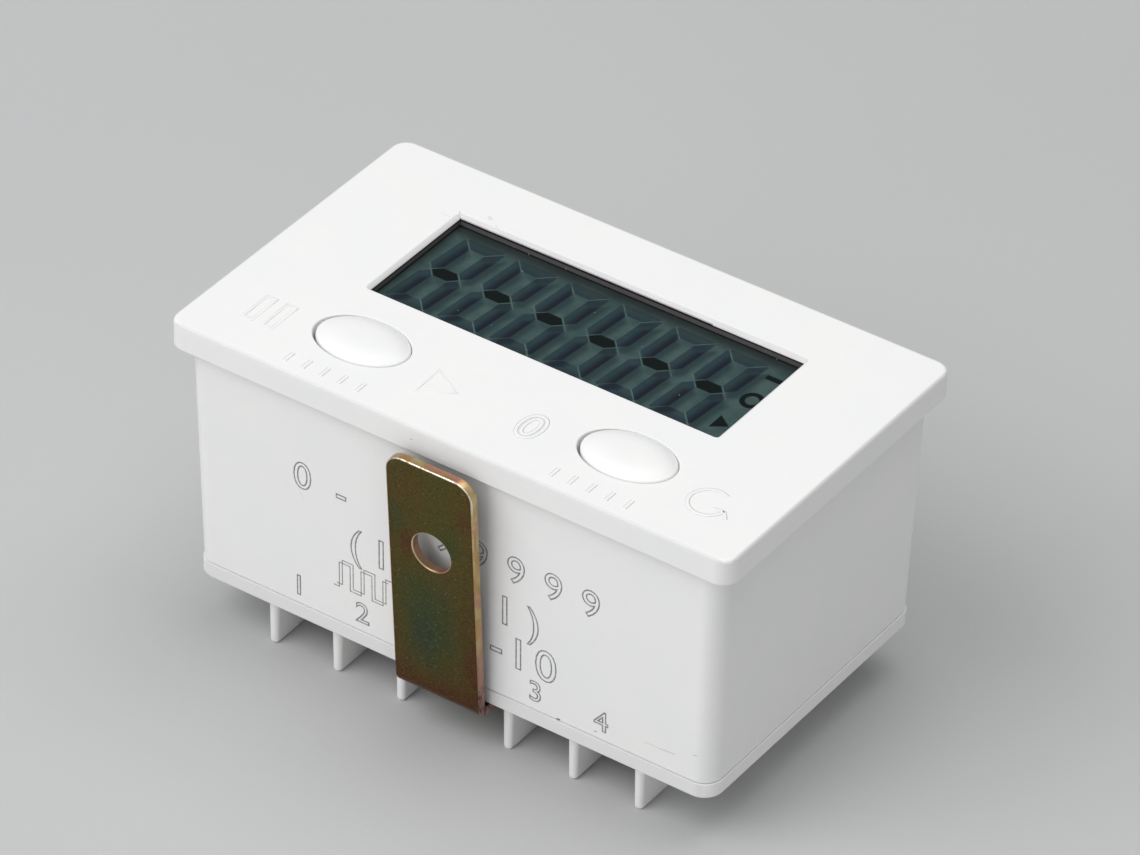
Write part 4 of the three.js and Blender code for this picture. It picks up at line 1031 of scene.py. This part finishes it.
def raise_signs():
    """Pause and play beside the first button, zero and a turning arrow beside the second, ticks below."""
    half, bar, tick = SIGN["size"] / 2, SIGN["bar_half"], SIGN["tick"] / 2
    bars = [[(x + side * bar, end * half) for side, end in ((-1, -1), (1, -1), (1, 1), (-1, 1), (-1, -1))]
            for x in (-SIGN["bar_x"], SIGN["bar_x"])]
    back, steps = -SIGN["play_share"] * half, 28
    play = [(back, -half), (half, 0), (back, half), (back, -half)]
    angles = [math.radians(SIGN["turn_start"] + SIGN["turn_sweep"] * i / steps) for i in range(steps + 1)]
    turn = [(half * math.cos(angle), half * math.sin(angle)) for angle in angles]
    inner, outer = ((half + x, y) for x, y in SIGN["barbs"])
    count = SIGN["tick_count"]
    ticks = [[((i - (count - 1) / 2) * SIGN["tick_pitch"], y) for y in (-tick, tick)] for i in range(count)]
    for button, left, right in zip(BUTTONS, (line_curve(*bars), digits_curve("0", SIGN["size"])),
                                   (line_curve(play), line_curve(turn, [inner, turn[-1], outer]))):
        x, _ = middle_of(button)
        for name, curve, sign_x, y in (("left", left, x - SIGN["aside"], SIGN["y"]),
                                       ("right", right, x + SIGN["aside"], SIGN["y"]),
                                       ("ticks", line_curve(*ticks), x, SIGN["ticks_y"])):
            piece = ridges(f"{button}_{name}_sign", curve, SIGN, Matrix.Translation((sign_x, y, TOP)))
            dress(piece, "case_plastic")


print_front()
raise_signs()


# Nodes that keep their own mesh

KEPT_EDGE = 0.06  # width of their softened edges
KEPT_NODES = {
    "dark_plastic": ["lcd_frame"],
    "glass": ["lcd_front_glass", "lcd_rear_glass"],
    "reflector": ["lcd_reflector"],
    "rubber": ["contact_strip"],
    "foam": ["support_strip"],
    "board": ["main_board"],
    "black_plastic": ["controller_chip", "input_chip", "capacitor", "battery_holder", "pause_plunger",
                      "reset_plunger"],
    "steel": ["crystal", "battery", "battery_clip", "pause_switch", "reset_switch", "board_screw_1",
              "board_screw_2"],
    "brass": ["bracket_insert", *(f"terminal_plate_{n}" for n in TERMINALS)],
    "wire": [f"lead_{n}" for n in TERMINALS],
}


def keep_node(node, slot):
    """Gives a node its material and softened edges."""
    node.data.materials.clear()
    node.data.materials.append(MATERIALS[slot])
    modifier = node.modifiers.new("edges", "BEVEL")
    modifier.width = KEPT_EDGE * MM
    modifier.segments = 2
    modifier.limit_method = "ANGLE"
    modifier.angle_limit = math.radians(50)


for slot, names in KEPT_NODES.items():
    for name in names:
        keep_node(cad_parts[name], slot)


# Stage

def make_floor():
    """Plain pale sweep that rises far behind the object."""
    bm = bmesh.new()
    s = {"front": 900, "back": 500, "radius": 250, "height": 900, "half_width": 1200}
    profile = [(-s["front"], 0)]
    profile += [(s["back"] + depth, height) for height, depth in fillet(s["radius"], 12)]
    profile.append((s["back"] + s["radius"], s["height"]))
    rows = [[bm.verts.new((x, y, z)) for y, z in profile] for x in (-s["half_width"], s["half_width"])]
    for i in range(len(profile) - 1):
        bm.faces.new((rows[0][i], rows[1][i], rows[1][i + 1], rows[0][i + 1]))
    floor = mesh_object("floor", bm)
    floor.data.shade_smooth()
    floor.rotation_euler.z = math.radians(CAMERA["azimuth"])
    f = Finish("floor_paper")
    f.set(Base_Color=f.blend(f.noise(60, 3.0), (0.50, 0.505, 0.51), (0.53, 0.532, 0.535)),
          Roughness=f.noise(20, 2.0) * 0.1 + 0.75, Specular_IOR_Level=0.2)
    f.bump(f.noise(0.8, 3.0), 0.02)
    floor.data.materials.append(f.material)


def make_camera():
    data = bpy.data.cameras.new("camera")
    data.lens = CAMERA["lens"]
    data.sensor_width = CAMERA["sensor"]
    data.clip_start = 0.01
    camera = add_object("camera", data)
    turn = Matrix.Rotation(math.radians(CAMERA["azimuth"]), 4, "Z")
    tilt = Matrix.Rotation(TAU / 4 - math.radians(CAMERA["elevation"]), 4, "X")
    roll = Matrix.Rotation(math.radians(CAMERA["roll"]), 4, "Z")
    camera.matrix_world = Matrix.Translation(Vector(CAMERA["place"]) * MM) @ turn @ tilt @ roll
    bpy.context.scene.camera = camera


def add_lamp(name, place, size, power):
    """Square soft box, placed in millimetres, that looks at the object's middle."""
    data = bpy.data.lights.new(name, "AREA")
    data.size = size * MM
    data.energy = power
    lamp = add_object(name, data)
    lamp.location = Vector(place) * MM
    aim = Vector((0, 0, TOP / 2)) * MM - lamp.location
    lamp.rotation_euler = aim.to_track_quat("-Z", "Y").to_euler()


def make_world(strength):
    world = bpy.data.worlds.new("studio")
    bpy.context.scene.world = world
    world.use_nodes = True
    background = world.node_tree.nodes["Background"]
    background.inputs["Color"].default_value = (1, 1, 1, 1)
    background.inputs["Strength"].default_value = strength


make_floor()
make_camera()
make_world(0.42)
add_lamp("key", (-260, -420, 620), 600, 3.45)
add_lamp("top", (100, 200, 720), 500, 1.75)
add_lamp("front", (20, -620, 110), 300, 0.5)
add_lamp("fill", (420, -420, 150), 400, 0.1)

bpy.context.scene.view_settings.view_transform = "Standard"
